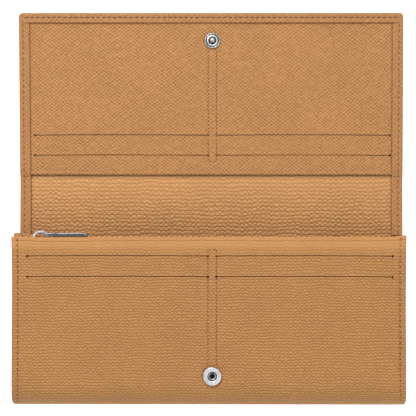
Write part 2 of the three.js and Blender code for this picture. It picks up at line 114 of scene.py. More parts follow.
# The cover: its folds, how far its edges stand out, and the hem turned over them.
LEATHER = BACK.z1 - BACK.z0
SEAM_Y = (REAR_FOLD_Y + FLAP_FOLD_Y) / 2
FOLD_REACH = 5.0
REAR_FOLD, FLAP_FOLD = (
    (mid_point(fold - FOLD_REACH), mid_point(fold + FOLD_REACH)) for fold in (REAR_FOLD_Y, FLAP_FOLD_Y)
)
EDGE_SWELL = 0.5
FAR_SWELL = 0.5
FLARE = 0.4
HEM_WIDTH = 5.2 + EDGE_SWELL
HEM_BAND = HEM_WIDTH + 0.8
HEM_ROUND = 1.25
HEM_LIP = 0.7
HEM_CORNER = 2.0
HEM_GROOVE = 0.16
HEM_CALM = 0.20
FAR_HEM = 5.4
FAR_BAND = FAR_HEM * HEM_BAND / HEM_WIDTH
FAR_RISE = 0.20
BACK_HEM_ENDS = REAR_WALL.y1 - 1.0
LINING_LAP = 7.0

# Lines of stitches: how far each runs inside its edge, and the pitch of the stitches.
HEM_STITCH = 2.4
FAR_STITCH = 2.75
SIDE_STITCH = 2.9
WALL_STITCH = 3.3
HEM_PITCH = 2.8
HEM_THREAD_WIDTH = 0.52
DIVIDER_THREAD_WIDTH = 0.46
SIDE_PITCH = 2.65
DIVIDER_PITCH = 1.95
DIVIDER_HALF = 2.1
STITCH_SLANT = 0.10
UP = (0, 0, 1)

# Card slots, cut across the flap's panel and the front just below the heads of their card slips.
SLIP_HEAD = 3.0
SLOT_HALF = 0.12
SLOT_DEPTH = 0.55
SLOT_BOW = 0.22
SLOT_SHADE = 0.70
SLOT_HOLE = 0.54
HOLE_DEPTH = 0.5
FLAP_SLOTS_Y = [Box(f"flap_card_slip_{row}_left").y0 + SLIP_HEAD for row in (1, 2)]
FRONT_SLOTS_Y = [Box(f"front_card_slip_{row}_left").y1 - SLIP_HEAD for row in (1, 2)]
FLAP_SLOT_ENDS = slot_ends("flap", 2.2, 1.1)
FRONT_SLOT_ENDS = slot_ends("front", 1.7, 0.7)
FLAP_DIVIDER_LOW = FLAP_SLOTS_Y[0] - 3.0
FRONT_DIVIDER_TOP = FRONT_SLOTS_Y[0] + 3.4

# The front: flat from the mouth, then round a wide bend, a short straight step and the bottom fold.
BODY_TAPER = 0.7
TAPER_REACH = 14.0
CORNER_ROUND = 1.1
BOTTOM_SWELL = 0.6
BOTTOM_STEP = 0.2
BOTTOM_RADIUS = BOTTOM.y1 - BOTTOM.y0
BOTTOM_CENTRE = BOTTOM.y1
BOTTOM_BLEND = (mid_point(FRONT.y0, 4.5), mid_point(FRONT.y0, 9.5))
FRONT_HALF = (FRONT.x1 - FRONT.x0) / 2
FRONT_RADIUS = FRONT.z1 - (BOTTOM_RADIUS + BOTTOM_STEP)
FRONT_CENTRE_Y = FRONT.y0 + FRONT_RADIUS
FRONT_CENTRE_Z = FRONT.z1 - FRONT_RADIUS
FRONT_FLAT = FRONT.y1 - FRONT_CENTRE_Y
FRONT_JOIN = math.radians(78)
FRONT_SINK = 0.08

# The mouth: it dips behind the puller and rises at its right corner. The shares run from -1 to 1 across.
PULLER_START = (PULLER.x0 - 4 - FRONT.x) / FRONT_HALF
PULLER_END = (PULLER.x1 - 3 - FRONT.x) / FRONT_HALF
MOUTH_DIP = 0.55
MOUTH_RISE = 0.8

# The coin pocket's walls, wider at the left than in the CAD. The rear one is sunk at its mouth.
WALL_EXTRA = 0.9
WALL_SINK = 2.4
WALL_SEAM = 14.0


# ---- Mesh helpers ----------------------------------------------------------------------------------

def new_object(name, mesh):
    made = bpy.data.objects.new(name, mesh)
    bpy.context.scene.collection.objects.link(made)
    return made


def finish_mesh(name, points, faces, uv=None, shade=None, calm=None, sharp_angle=40, weld=1e-4):
    """A closed mesh object from points in millimetres, with a surface map in millimetres.

    Shade paints shade on a point. Calm smooths its grain and, from about 0.3 up, paints it paler as a painted
    highlight. Both run from 0 to 1.
    """
    mesh = bpy.data.meshes.new(name)
    mesh.from_pydata((np.asarray(points, float) * MM).tolist(), [], faces)
    points = np.asarray(points, float)
    uv = points[:, :2] if uv is None else np.asarray(uv, float)
    corners = np.empty(len(mesh.loops), np.int32)
    mesh.loops.foreach_get("vertex_index", corners)
    layer = mesh.uv_layers.new(name=UV_LAYER)
    layer.uv.foreach_set("vector", uv[corners].astype(np.float32).ravel())
    for label, given in ((SHADE, shade), (CALM, calm)):
        attribute = mesh.attributes.new(label, "FLOAT", "POINT")
        values = np.zeros(len(points)) if given is None else np.asarray(given, float)
        attribute.data.foreach_set("value", values.astype(np.float32))
    work = bmesh.new()
    work.from_mesh(mesh)
    bmesh.ops.remove_doubles(work, verts=work.verts, dist=weld * MM)
    bmesh.ops.dissolve_degenerate(work, edges=work.edges, dist=weld * MM / 2)
    bmesh.ops.recalc_face_normals(work, faces=work.faces)
    work.to_mesh(mesh)
    work.free()
    mesh.shade_smooth()
    mesh.set_sharp_from_angle(angle=math.radians(sharp_angle))
    return new_object(name, mesh)


def grid_faces(rows, columns, start=0, flip=False):
    index = start + np.arange(rows * columns).reshape(rows, columns)
    quads = np.stack([index[:-1, :-1], index[:-1, 1:], index[1:, 1:], index[1:, :-1]], -1).reshape(-1, 4)
    return (quads[:, ::-1] if flip else quads).tolist()


def sheet(name, top, bottom, uv=None, shade=None, calm=None, sharp_angle=40):
    """A closed sheet between two grids of points, walled round its rim. Walls of no height vanish."""
    rows, columns = top.shape[:2]
    count = rows * columns
    points = np.concatenate([top.reshape(-1, 3), bottom.reshape(-1, 3)])
    faces = grid_faces(rows, columns) + grid_faces(rows, columns, count, flip=True)
    index = np.arange(count).reshape(rows, columns)
    rim = [*index[0, :], *index[1:, -1], *index[-1, -2::-1], *index[-2:0:-1, 0]]
    for a, b in zip(rim, rim[1:] + rim[:1]):
        faces.append([int(a), int(a) + count, int(b) + count, int(b)])
    flat_uv = None if uv is None else np.concatenate([uv.reshape(-1, 2)] * 2)
    flat_shade, flat_calm = (
        None if given is None else np.concatenate([given.ravel(), np.zeros(count)]) for given in (shade, calm)
    )
    return finish_mesh(name, points, faces, flat_uv, flat_shade, flat_calm, sharp_angle)
def level_sheet(name, x, y, top, bottom, **rest):
    """A closed sheet over a grid of places, from its top height to its bottom height."""
    grids = [np.stack([x, y, np.broadcast_to(height, x.shape)], -1) for height in (top, bottom)]
    return sheet(name, *grids, **rest)

def spaced(low, high, step, details=()):
    """Positions from low to high about a step apart, with finer steps inside each (from, to, step) detail."""
    steps = max(1, round((high - low) / step))
    places = list(np.linspace(low, high, steps + 1))
    for start, end, fine in details:
        start, end = max(low, start), min(high, end)
        if end <= start:
            continue
        places = [p for p in places if not start - fine / 2 < p < end + fine / 2 or p in (low, high)]
        places += list(np.linspace(start, end, max(1, math.ceil((end - start) / fine)) + 1))
    places = sorted(places)
    kept = [places[0]]
    for place in places[1:]:
        if place - kept[-1] > 0.02:
            kept.append(place)
    kept[-1] = places[-1]
    return np.array(kept)


def rim_details(low, high, radius):
    """Fine steps for the rounded rim at both ends of a span."""
    return [(low, low + radius, radius / 4), (high - radius, high, radius / 4)]


def rim_drop(distance, radius):
    """How far a rounded rim falls away at a distance inside its edge."""
    inside = np.clip(distance, 0, radius)
    return radius - np.sqrt(np.maximum(radius**2 - (radius - inside) ** 2, 0))


def edge_distance(x, y, x0, x1, y0, y1):
    return np.minimum(np.minimum(x - x0, x1 - x), np.minimum(y - y0, y1 - y))


def rounded_grid(x_span, y_span, x_step, y_step, radius):
    """Places over a rectangle, and how far its rounded rim falls away at each."""
    xs = spaced(*x_span, x_step, rim_details(*x_span, radius))
    ys = spaced(*y_span, y_step, rim_details(*y_span, radius))
    x, y = np.meshgrid(xs, ys)
    return x, y, rim_drop(edge_distance(x, y, *x_span, *y_span), radius)


def tube_faces(start, rings, sides):
    """Faces of a tube closed at both ends, whose points were added ring by ring."""
    faces = []
    for ring in range(rings - 1):
        for side in range(sides):
            a = start + ring * sides + side
            b = start + ring * sides + (side + 1) % sides
            faces.append([a, b, b + sides, a + sides])
    faces.append([start + side for side in range(sides)][::-1])
    faces.append([start + (rings - 1) * sides + side for side in range(sides)])
    return faces


def circle(centre_x, centre_y, radius, start, end, count):
    """Points along an arc in plan, between two angles in radians."""
    angles = np.linspace(start, end, count)
    return [(centre_x + radius * math.cos(a), centre_y + radius * math.sin(a)) for a in angles]

def bump(value, width):
    return np.exp(-((value / width) ** 2))


def smooth_step(value, low, high):
    t = np.clip((value - low) / (high - low), 0, 1)
    return t * t * (3 - 2 * t)


def waves(x, y, seed, size):
    """A gentle unevenness from a few crossing waves, about -1 to 1, the same on every run."""
    draw = random.Random(seed)
    total = np.zeros_like(x)
    count = 7
    for _ in range(count):
        angle = draw.uniform(0, math.pi)
        length = size * draw.uniform(0.6, 1.8)
        phase = draw.uniform(0, 2 * math.pi)
        along = x * math.cos(angle) + y * math.sin(angle)
        total += np.sin(2 * math.pi * along / length + phase)
    return total / count * 1.6


# ---- Materials -------------------------------------------------------------------------------------

class Nodes:
    """A material's node tree, with short calls for what the materials here need."""

    def __init__(self, name):
        self.material = bpy.data.materials.new(name)
        self.material.use_nodes = True
        self.tree = self.material.node_tree
        self.shader = self.tree.nodes["Principled BSDF"]

    def add(self, kind, **settings):
        node = self.tree.nodes.new(kind)
        for key, value in settings.items():
            setattr(node, key, value)
        return node

    def link(self, output, socket):
        self.tree.links.new(output, socket)

    def feed(self, socket, value):
        if isinstance(value, bpy.types.NodeSocket):
            self.link(value, socket)
        else:
            socket.default_value = value

    def math(self, operation, a, b=0.0):
        node = self.add("ShaderNodeMath", operation=operation)
        self.feed(node.inputs[0], a)
        self.feed(node.inputs[1], b)
        return node.outputs[0]

    def vector(self, operation, a, b):
        node = self.add("ShaderNodeVectorMath", operation=operation)
        self.feed(node.inputs[0], a)
        self.feed(node.inputs[1], b)
        return node.outputs[0]

    def surface(self):
        """The place on the surface map, in millimetres."""
        return self.add("ShaderNodeUVMap", uv_map=UV_LAYER).outputs["UV"]

    def place(self):
        """The place in the object's own space, in metres."""
        return self.add("ShaderNodeTexCoord").outputs["Object"]

    def place_mm(self):
        return self.vector("MULTIPLY", self.place(), (1 / MM, 1 / MM, 1 / MM))

    def axes(self, where):
        split = self.add("ShaderNodeSeparateXYZ")
        self.link(where, split.inputs[0])
        return split.outputs["X"], split.outputs["Y"], split.outputs["Z"]

    def noise(self, where, scale, detail=2.0, roughness=0.5, colour=False):
        node = self.add("ShaderNodeTexNoise", noise_dimensions="3D")
        self.link(where, node.inputs["Vector"])
        node.inputs["Scale"].default_value = scale
        node.inputs["Detail"].default_value = detail
        node.inputs["Roughness"].default_value = roughness
        return node.outputs["Color" if colour else "Fac"]

    def mapped(self, where, scale=(1, 1, 1), turn=0.0):
        node = self.add("ShaderNodeMapping")
        self.link(where, node.inputs["Vector"])
        node.inputs["Rotation"].default_value = (0, 0, turn)
        node.inputs["Scale"].default_value = scale
        return node.outputs["Vector"]

    def cells(self, where, randomness):
        """Distance to the nearest edge between flat scattered cells."""
        node = self.add("ShaderNodeTexVoronoi", voronoi_dimensions="2D", feature="DISTANCE_TO_EDGE")
        self.link(where, node.inputs["Vector"])
        node.inputs["Scale"].default_value = 1.0
        node.inputs["Randomness"].default_value = randomness
        return node.outputs["Distance"]

    def ranged(self, value, from_min, from_max, to_min=0.0, to_max=1.0):
        """A value eased from one range into another, and held at its ends."""
        node = self.add("ShaderNodeMapRange", interpolation_type="SMOOTHSTEP")
        self.link(value, node.inputs["Value"])
        limits = {"From Min": from_min, "From Max": from_max, "To Min": to_min, "To Max": to_max}
        for key, number in limits.items():
            node.inputs[key].default_value = number
        return node.outputs["Result"]

    def mix(self, factor, a, b, blend="MIX"):
        node = self.add("ShaderNodeMix", data_type="RGBA", blend_type=blend)
        self.feed(node.inputs["Factor"], factor)
        self.feed(node.inputs["A"], (*a, 1) if isinstance(a, tuple) else a)
        self.feed(node.inputs["B"], (*b, 1) if isinstance(b, tuple) else b)
        return node.outputs["Result"]

    def painted(self, label):
        return self.add("ShaderNodeAttribute", attribute_name=label).outputs["Fac"]

    def fold(self, value):
        """0 in the middle of each whole step of a value, rising to 1 where the steps meet."""
        from_middle = self.math("SUBTRACT", self.math("FRACT", value), 0.5)
        return self.math("MULTIPLY", self.math("ABSOLUTE", from_middle), 2.0)

    def dome(self, sharpness, *phases):
        """Pebbles between whole steps of every phase: 0 in the creases, 1 on top. Sharper is thinner."""
        total = None
        for phase, strength in phases:
            side = self.math("MULTIPLY", self.math("POWER", self.fold(phase), sharpness), strength)
            side = self.math("SUBTRACT", 1.0, side)
            total = side if total is None else self.math("MULTIPLY", total, side)
        return total

    def bump(self, height, distance):
        node = self.add("ShaderNodeBump")
        self.link(height, node.inputs["Height"])
        node.inputs["Distance"].default_value = distance
        node.inputs["Strength"].default_value = 1.0
        return node.outputs["Normal"]

    def finish(self, colour, roughness, normal=None, metallic=0.0):
        self.feed(self.shader.inputs["Base Color"], colour)
        self.feed(self.shader.inputs["Roughness"], roughness)
        self.shader.inputs["Metallic"].default_value = metallic
        if normal is not None:
            self.link(normal, self.shader.inputs["Normal"])
        return self.material


RIDGE = (0.395, 0.188, 0.064)
# The creases' colour, darker than the ridges: painted shade in the creases.
CREASE_SHADE = (0.245, 0.100, 0.028)
# The colour of the painted shade on leather: in cuts and holes, along the turned edges' ends and under the
# card panel's edge.
PAINTED_SHADE_DARK = (0.060, 0.020, 0.009)
# The colour of the painted shade at the stitches' needle holes.
NEEDLE_HOLE_SHADE = (0.035, 0.012, 0.006)
# The colour of the painted shade on the metal parts: in their grooves and holes and on the puller's underside.
METAL_SHADE_DARK = (0.012, 0.012, 0.014)
LEATHER_GLOSS = 0.30


def scaled(colour, factor):
    return tuple(value * factor for value in colour)


def slanting_creases(n, where, pitch, turn, wander, strengths=(0.62, 1.0)):
    """Two families of slanting creases that wander, and fade in and out between two strengths."""
    x, y, _ = n.axes(where)
    phases = []
    for side, seed in ((1, 0.0), (-1, 40.0)):
        along = n.math("MULTIPLY", x, math.cos(turn) / pitch)
        across = n.math("MULTIPLY", y, side * math.sin(turn) / pitch)
        moved = n.vector("ADD", where, (seed, seed, seed))
        drift = n.math("MULTIPLY", n.noise(moved, 0.26, 2.0), wander)
        strength = n.ranged(n.noise(moved, 0.42, 1.0), 0.36, 0.60, *strengths)
        phases.append((n.math("ADD", n.math("ADD", along, across), drift), strength))
    return phases


def diamond(pitch, turn, wander, sharpness=1.7):
    """A lattice of slanting creases, the same everywhere. Turn is in degrees."""
    return lambda n, where: n.dome(sharpness, *slanting_creases(n, where, pitch, math.radians(turn), wander))


def rows(row, pitch, turn, wander, sharpness, strengths):
    """Wavy rows of pebbles, each row split by slanting creases. Turn is in degrees."""
    def grain(n, where):
        ripple = n.math("MULTIPLY", n.noise(where, 0.085, 2.0), 1.8)
        row_phase = n.math("ADD", n.math("DIVIDE", n.axes(where)[1], row), ripple)
        slants = slanting_creases(n, where, pitch, math.radians(turn), wander, strengths)
        return n.dome(sharpness, (row_phase, 1.0), *slants)
    return grain


def leather(name, grain, relief, tone=1.0, contrast=1.0, tint=(1.0, 1.0, 1.0)):
    """Pebbled full-grain leather. Grain is the pebble pattern, relief its depth in mm."""
    n = Nodes(name)
    where = n.surface()
    warp = n.vector("SUBTRACT", n.noise(where, 0.45, 2.0, colour=True), (0.5, 0.5, 0.5))
    warped = n.vector("ADD", where, n.vector("MULTIPLY", warp, (0.7, 0.7, 0)))
    split_cells = n.ranged(n.cells(n.mapped(warped, (0.62, 0.72, 1)), 0.9), 0.0, 0.16, 0.86, 1.0)
    dome = n.math("MULTIPLY", grain(n, warped), split_cells)
    calm = n.painted(CALM)
    grained = n.math("MULTIPLY", dome, n.math("SUBTRACT", 1.0, calm))
    dome = n.math("ADD", grained, n.math("MULTIPLY", calm, 0.7))
    fine = n.noise(where, 2.6, 3.0, 0.6)
    height = n.math("ADD", dome, n.math("MULTIPLY", fine, 0.22))
    ridge = tuple(value * tone * t for value, t in zip(RIDGE, tint))
    # Painted shade: the creases are coloured darker than the pebble tops, and contrast sets how much.
    crease_shade = tuple(r + (c * tone * t - r) * contrast for r, c, t in zip(ridge, CREASE_SHADE, tint))
    colour = n.mix(n.ranged(dome, 0.0, 0.70), crease_shade, ridge)
    broad = n.ranged(n.noise(where, 0.035, 3.0), 0.3, 0.7, 0.97, 1.03)
    speck = n.ranged(fine, 0.3, 0.75, 0.93, 1.06)
    # Painted highlight: where calm is above about 0.3 the leather is painted paler.
    painted_highlight = n.ranged(calm, 0.27, 0.40, 1.0, 1.10)
    colour = n.mix(1.0, colour, n.math("MULTIPLY", n.math("MULTIPLY", broad, speck), painted_highlight), "MULTIPLY")
    # Painted shade from the shade attribute: in the cuts and holes, along the turned edges' ends and under the
    # card panel's edge.
    colour = n.mix(n.painted(SHADE), colour, PAINTED_SHADE_DARK)
    n.shader.inputs["Specular IOR Level"].default_value = LEATHER_GLOSS
    return n.finish(colour, n.ranged(dome, 0.0, 1.0, 0.74, 0.54), n.bump(height, relief * MM))


def thin_leather(name, base):
    """Smooth lining leather with a faint pore grain."""
    n = Nodes(name)
    where = n.surface()
    pores = n.noise(where, 3.2, 4.0, 0.65)
    broad = n.noise(where, 0.08, 2.0)
    colour = n.mix(n.ranged(pores, 0.3, 0.7), scaled(base, 0.72), base)
    colour = n.mix(1.0, colour, n.ranged(broad, 0.3, 0.7, 0.9, 1.06), "MULTIPLY")
    # Painted shade from the shade attribute.
    colour = n.mix(n.painted(SHADE), colour, PAINTED_SHADE_DARK)
    n.shader.inputs["Specular IOR Level"].default_value = LEATHER_GLOSS
    return n.finish(colour, n.ranged(pores, 0.2, 0.8, 0.6, 0.78), n.bump(pores, 0.06 * MM))


def woven(name, base, pitch):
    """A plain weave with threads a pitch apart in mm."""
    n = Nodes(name)
    where = n.place_mm()
    x, y, z = n.axes(where)
    turn = 2 * math.pi / pitch
    warp = n.math("SINE", n.math("MULTIPLY", x, turn))
    weft = n.math("SINE", n.math("MULTIPLY", n.math("ADD", y, z), turn))
    height = n.math("ADD", n.math("MULTIPLY", warp, weft), n.noise(where, 4.0, 3.0))
    colour = n.mix(n.ranged(height, -0.8, 1.6), scaled(base, 0.6), base)
    return n.finish(colour, n.ranged(height, -1.0, 1.8, 0.95, 0.8), n.bump(height, 0.05 * MM))


def pressed_board(name):
    """Grey-brown fibre board with its fibres lying along it."""
    n = Nodes(name)
    fibres = n.noise(n.mapped(n.place_mm(), (0.4, 2.2, 1)), 1.6, 5.0, 0.7)
    colour = n.mix(n.ranged(fibres, 0.3, 0.7), (0.30, 0.24, 0.17), (0.46, 0.38, 0.28))
    return n.finish(colour, n.ranged(fibres, 0.2, 0.8, 0.95, 0.8), n.bump(fibres, 0.05 * MM))


def nickel(name, tint, rough):
    """Polished nickel with faint handling marks."""
    n = Nodes(name)
    where = n.place_mm()
    smudge = n.noise(where, 0.9, 4.0, 0.6)
    scratch = n.noise(n.mapped(where, (0.6, 9.0, 3.0), 0.5), 2.0, 2.0, 0.7)
    colour = n.mix(n.ranged(smudge, 0.35, 0.75), scaled(tint, 0.82), tint)
    # Painted shade from the shade attribute, in grooves, holes and on undersides.
    colour = n.mix(n.painted(SHADE), colour, METAL_SHADE_DARK)
    smudged = n.ranged(smudge, 0.3, 0.8, rough * 0.8, rough * 1.5)
    finish = n.math("ADD", smudged, n.math("MULTIPLY", scratch, 0.05))
    return n.finish(colour, finish, n.bump(scratch, 0.004 * MM), metallic=1.0)


def thread(name, base):
    """Waxed thread, twisted, with painted shade where it dives into its needle holes."""
    n = Nodes(name)
    wave = n.add("ShaderNodeTexWave", wave_type="BANDS", bands_direction="DIAGONAL")
    n.link(n.place_mm(), wave.inputs["Vector"])
    wave.inputs["Scale"].default_value = 1.9
    wave.inputs["Distortion"].default_value = 0.6
    twist = wave.outputs["Fac"]
    colour = n.mix(twist, scaled(base, 0.62), base)
    colour = n.mix(n.painted(SHADE), colour, NEEDLE_HOLE_SHADE)
    return n.finish(colour, n.ranged(twist, 0, 1, 0.7, 0.5), n.bump(twist, 0.04 * MM))


FRONT_GRAIN = rows(1.45, 1.45, 50, 1.3, 2.4, (0.60, 0.90))
SPINE_GRAIN = rows(2.0, 1.75, 50, 1.1, 2.6, (0.62, 0.92))

# Each finish: what makes it, then that function's settings after the name.
FINISHES = {
    "flap_leather": (leather, diamond(1.4, 52, 1.4, 2.1), 0.23, 1.09, 1.05),
    "front_leather": (leather, FRONT_GRAIN, 0.25, 1.12, 1.0, (1.0, 1.02, 1.0)),
    "spine_leather": (leather, SPINE_GRAIN, 0.40, 1.33, 1.15, (1.0, 1.05, 1.16)),
    "cover_leather": (leather, diamond(1.6, 50, 1.5), 0.20, 0.99, 0.9),
    # A paler leather for the coin pocket's walls: painted light that cancels the shade between the body's
    # layers.
    "pocket_leather": (leather, diamond(1.6, 40, 1.9), 0.16, 1.25, 0.9),
    "lining": (thin_leather, (0.34, 0.160, 0.060)),
    "tape": (woven, (0.33, 0.155, 0.06), 0.5),
    "slip": (woven, (0.30, 0.155, 0.068), 0.4),
    "board": (pressed_board,),
    "zip_nickel": (nickel, (0.50, 0.51, 0.54), 0.24),
    "snap_nickel": (nickel, (0.70, 0.70, 0.71), 0.34),
    "stud_nickel": (nickel, (0.50, 0.50, 0.51), 0.32),
    "puller_nickel": (nickel, (0.27, 0.28, 0.30), 0.30),
    "hem_thread": (thread, (0.20, 0.075, 0.030)),
    "tan_thread": (thread, (0.23, 0.085, 0.034)),
    "brown_thread": (thread, (0.18, 0.062, 0.028)),
}
MATERIALS = {name: make(name, *settings) for name, (make, *settings) in FINISHES.items()}


def paint(piece, material):
    piece.data.materials.clear()
    piece.data.materials.append(MATERIALS[material])
    return piece


# ---- Relief shared by the slotted panels -----------------------------------------------------------

def slot_spans(ends, divider_x):
    """The x spans of a row's two slots, one on each side of the divider."""
    return [(ends[0], divider_x - DIVIDER_HALF), (divider_x + DIVIDER_HALF, ends[1])]


def slot_relief(x, y, slots_y, ends, divider_x):
    """Height and shade of the card slots: a cut with a raised lip, bowed a little, and punched end holes."""
    height = np.zeros_like(x)
    shade = np.zeros_like(x)
    for slot_y in slots_y:
        for start, end in slot_spans(ends, divider_x):
            half = (end - start) / 2
            from_middle = np.abs(x - (start + end) / 2)
            inside = smooth_step(half - from_middle, -0.05, 0.25)
            bow = SLOT_BOW * np.clip(1 - (from_middle / half) ** 2, 0, 1)
            away = y - (slot_y + bow)
            cut = inside * smooth_step(SLOT_HALF - np.abs(away), -0.08, 0.08)
            lips = 0.22 * bump(away - 0.6, 0.42) + 0.08 * bump(away + 0.6, 0.45)
            height += inside * lips - SLOT_DEPTH * cut
            shade += SLOT_SHADE * cut
            for end_x in (start, end):
                hole = smooth_step(SLOT_HOLE - np.hypot(x - end_x, y - slot_y), -0.06, 0.10)
                height -= HOLE_DEPTH * hole
                shade += 1.5 * hole
    return height, np.clip(shade, 0, 1)


def seam_channel(distance, depth=0.14, width=0.55):
    """The shallow channel that a line of stitches pulls into the leather, with a soft swelling beside it."""
    return -depth * bump(distance, width) + 0.4 * depth * bump(np.abs(distance) - 1.5, 0.8)


def divider_relief(x, y, centre_x, fade_in, fade_out):
    """The two channels of a stitched divider, and the y spans over which they fade in and out."""
    along = smooth_step(y, *fade_in) * (1 - smooth_step(y, *fade_out))
    return along * sum(seam_channel(x - (centre_x + side * DIVIDER_HALF)) for side in (-1, 1))


def dent_round(x, y, snap, depth):
    """Leather pulled down round half of the snap."""
    away = np.hypot(x - snap.x, y - snap.y) - (snap.x1 - snap.x0) / 2
    return -depth * np.exp(-np.maximum(away, 0) / 1.4)


def slot_columns(ends, divider_x):
    """Fine steps in X at the ends of the card slots."""
    return [(x - 0.6, x + 0.6, 0.12) for span in slot_spans(ends, divider_x) for x in span]


# ---- Stitches --------------------------------------------------------------------------------------

def stitch_row(name, places, width, lift, material):
    """One object holding a row of stitches. Each place is (centre, along, up, length)."""
    rings, sides = 7, 8
    points, faces, shades = [], [], []
    for centre, along, up, length in places:
        centre, along, up = Vector(centre), Vector(along).normalized(), Vector(up).normalized()
        across = up.cross(along)
        faces += tube_faces(len(points), rings, sides)
        for ring in range(rings):
            t = -1 + 2 * ring / (rings - 1)
            radius = width / 2 * math.sqrt(max(1 - 0.82 * t * t, 0.0))
            middle = centre + along * (t * length / 2) + up * (lift * (1 - 1.7 * t * t))
            for side in range(sides):
                angle = 2 * math.pi * side / sides
                height = 0.8 * radius * math.sin(angle)
                points.append(middle + across * (radius * math.cos(angle)) + up * height)
                # Painted shade at both ends of each stitch, where it dives into its needle hole.
                shades.append(smooth_step(abs(t), 0.55, 1.0))
    points = np.array([tuple(point) for point in points])
    piece = finish_mesh(name, points, faces, shade=shades, sharp_angle=80, weld=1e-5)
    return paint(piece, material)


def line_of_stitches(start, end, pitch, surface, slant=0.0):
    """Stitch places from start to end, on a surface given as height(x, y)."""
    start, end = Vector((*start, 0)), Vector((*end, 0))
    count = max(1, round((end - start).length / pitch))
    along = (end - start).normalized()
    across = Vector((-along.y, along.x, 0))
    places = []
    for index in range(count):
        centre = start + (end - start) * ((index + 0.5) / count)
        centre.z = surface(centre.x, centre.y)
        places.append((centre, along + across * slant, UP, 0.66 * (end - start).length / count))
    return places


# ---- Cover leather with its turned edge ------------------------------------------------------------

def along_flap(y):
    return np.clip((y - FLAP.y0) / (FLAP.y1 - FLAP.y0), 0, 1)


def cover_left(y):
    """X of the cover's left edge: the cover widens a little towards the flap's far edge."""
    return SPINE.x0 - EDGE_SWELL + (FLAP.x0 - FLARE - SPINE.x0) * along_flap(y)


def cover_right(y):
    return SPINE.x1 + EDGE_SWELL + (FLAP.x1 - SPINE.x1) * along_flap(y)


def hem_top(y):
    """Height of the turned edge: it steps up where the card panel starts under it."""
    return SPINE.z1 + (FLAP.z1 - SPINE.z1) * smooth_step(y, FLAP_PANEL.y0 - 2.5, FLAP_PANEL.y0 + 3.0)


def hem_profile(top):
    """(depth, height) points round the turned edge, from the cover's outer face to its inner face."""
    half = top / 2
    points = [(HEM_BAND, 0.0), (3.0, 0.0)]
    for angle in np.linspace(0, math.pi, 13):
        points.append((HEM_ROUND * (1 - math.sin(angle)), half * (1 - math.cos(angle))))
    groove_steps = [HEM_STITCH + step for step in (-0.9, -0.5, -0.25, -0.1, 0.0, 0.1, 0.25, 0.5, 1.2, 2.0)]
    for depth in (*groove_steps, HEM_WIDTH - 0.35):
        points.append((depth, top - HEM_GROOVE * bump(depth - HEM_STITCH, 0.28)))
    points += [(HEM_WIDTH - 0.1, top - 0.1), (HEM_WIDTH, top - 0.3), (HEM_WIDTH - 0.05, top - HEM_LIP + 0.05)]
    points += [(HEM_WIDTH - 0.5, top - HEM_LIP), (1.5, top - HEM_LIP), (1.5, LEATHER), (HEM_BAND, LEATHER)]
    return points


def plain_profile(count):
    """The same number of points round a plain rounded edge, for the part that the body covers."""
    half = LEATHER / 2
    lower = [(HEM_BAND, 0.0), (3.0, 0.0)]
    turn = [(half - half * math.sin(a), half - half * math.cos(a)) for a in np.linspace(0, math.pi, 13)]
    rest = [(depth, LEATHER) for depth in np.linspace(half + 0.1, HEM_BAND, count - len(lower) - len(turn))]
    return lower + turn + rest


def side_block(ys, edge_at, inward):
    """Points of one side's turned edge at each y: an array of rows by profile points."""
    rows = []
    for y in ys:
        profile = hem_profile(hem_top(y))
        if y < BACK_HEM_ENDS:
            profile = plain_profile(len(profile))
        step_groove = 0.22 * bump(y - (FLAP_PANEL.y0 - 1.2), 0.3)
        row = []
        for depth, z in profile:
            on_top = 0.9 < depth < HEM_WIDTH and z > LEATHER + 1
            row.append((edge_at(y) + inward * depth, y, z - step_groove if on_top else z))
        rows.append(row)
    return np.array(rows)


def turned_map(block):
    """A surface map that carries on from the flat outer face and round the turned edge."""
    start = block[:, :1, :2]
    outermost = np.argmax(np.linalg.norm(block[..., :2] - start, axis=-1), axis=1)
    outward = block[np.arange(len(block)), outermost, :2][:, None] - start
    outward /= np.linalg.norm(outward, axis=-1, keepdims=True)
    steps = np.linalg.norm(np.diff(block, axis=1), axis=-1)
    around = np.concatenate([np.zeros((len(block), 1)), np.cumsum(steps, axis=1)], axis=1)
    return start + outward * around[..., None]


def cover_rows(low, high):
    """Places along the cover, closer together at the folds and at the start of the card panel."""
    details = [(fold - FOLD_REACH - 1, fold + FOLD_REACH + 1, 0.7) for fold in (REAR_FOLD_Y, FLAP_FOLD_Y)]
    details.append((FLAP_PANEL.y0 - 2.2, FLAP_PANEL.y0 - 0.2, 0.15))
    return spaced(low, high, 3.0, details)


def cover_piece(name, ys, far_edge):
    """The cover leather from one y to another: sides, plates and, on the flap, the far turned edge."""
    left = side_block(ys, cover_left, 1)
    right = side_block(ys, cover_right, -1)
    share = np.linspace(0, 1, 66)
    lower, upper = (
        left[:, None, column] + (right - left)[:, None, column] * share[:, None] for column in (0, -1)
    )
    blocks = [left, right, lower, upper]
    if far_edge:
        blocks += far_blocks(ys[-1], share)
    points, faces, surface = [], [], []
    for block in blocks:
        faces += grid_faces(*block.shape[:2], len(points))
        points += block.reshape(-1, 3).tolist()
        flat = block is lower or block is upper
        surface += (block[..., :2] if flat else turned_map(block)).reshape(-1, 2).tolist()
    for row in (0,) if far_edge else (0, -1):
        outline = np.concatenate([left[row], upper[row][1:-1], right[row][::-1], lower[row][-2:0:-1]])
        faces.append(list(range(len(points), len(points) + len(outline))))
        points += outline.tolist()
        surface += [[x, y + z] for x, y, z in outline]
    calm = HEM_CALM * (np.array(points)[:, 2] > LEATHER + 0.5)
    piece = finish_mesh(name, np.array(points), faces, surface, calm=calm, weld=2e-3, sharp_angle=55)
    return paint(piece, "cover_leather")


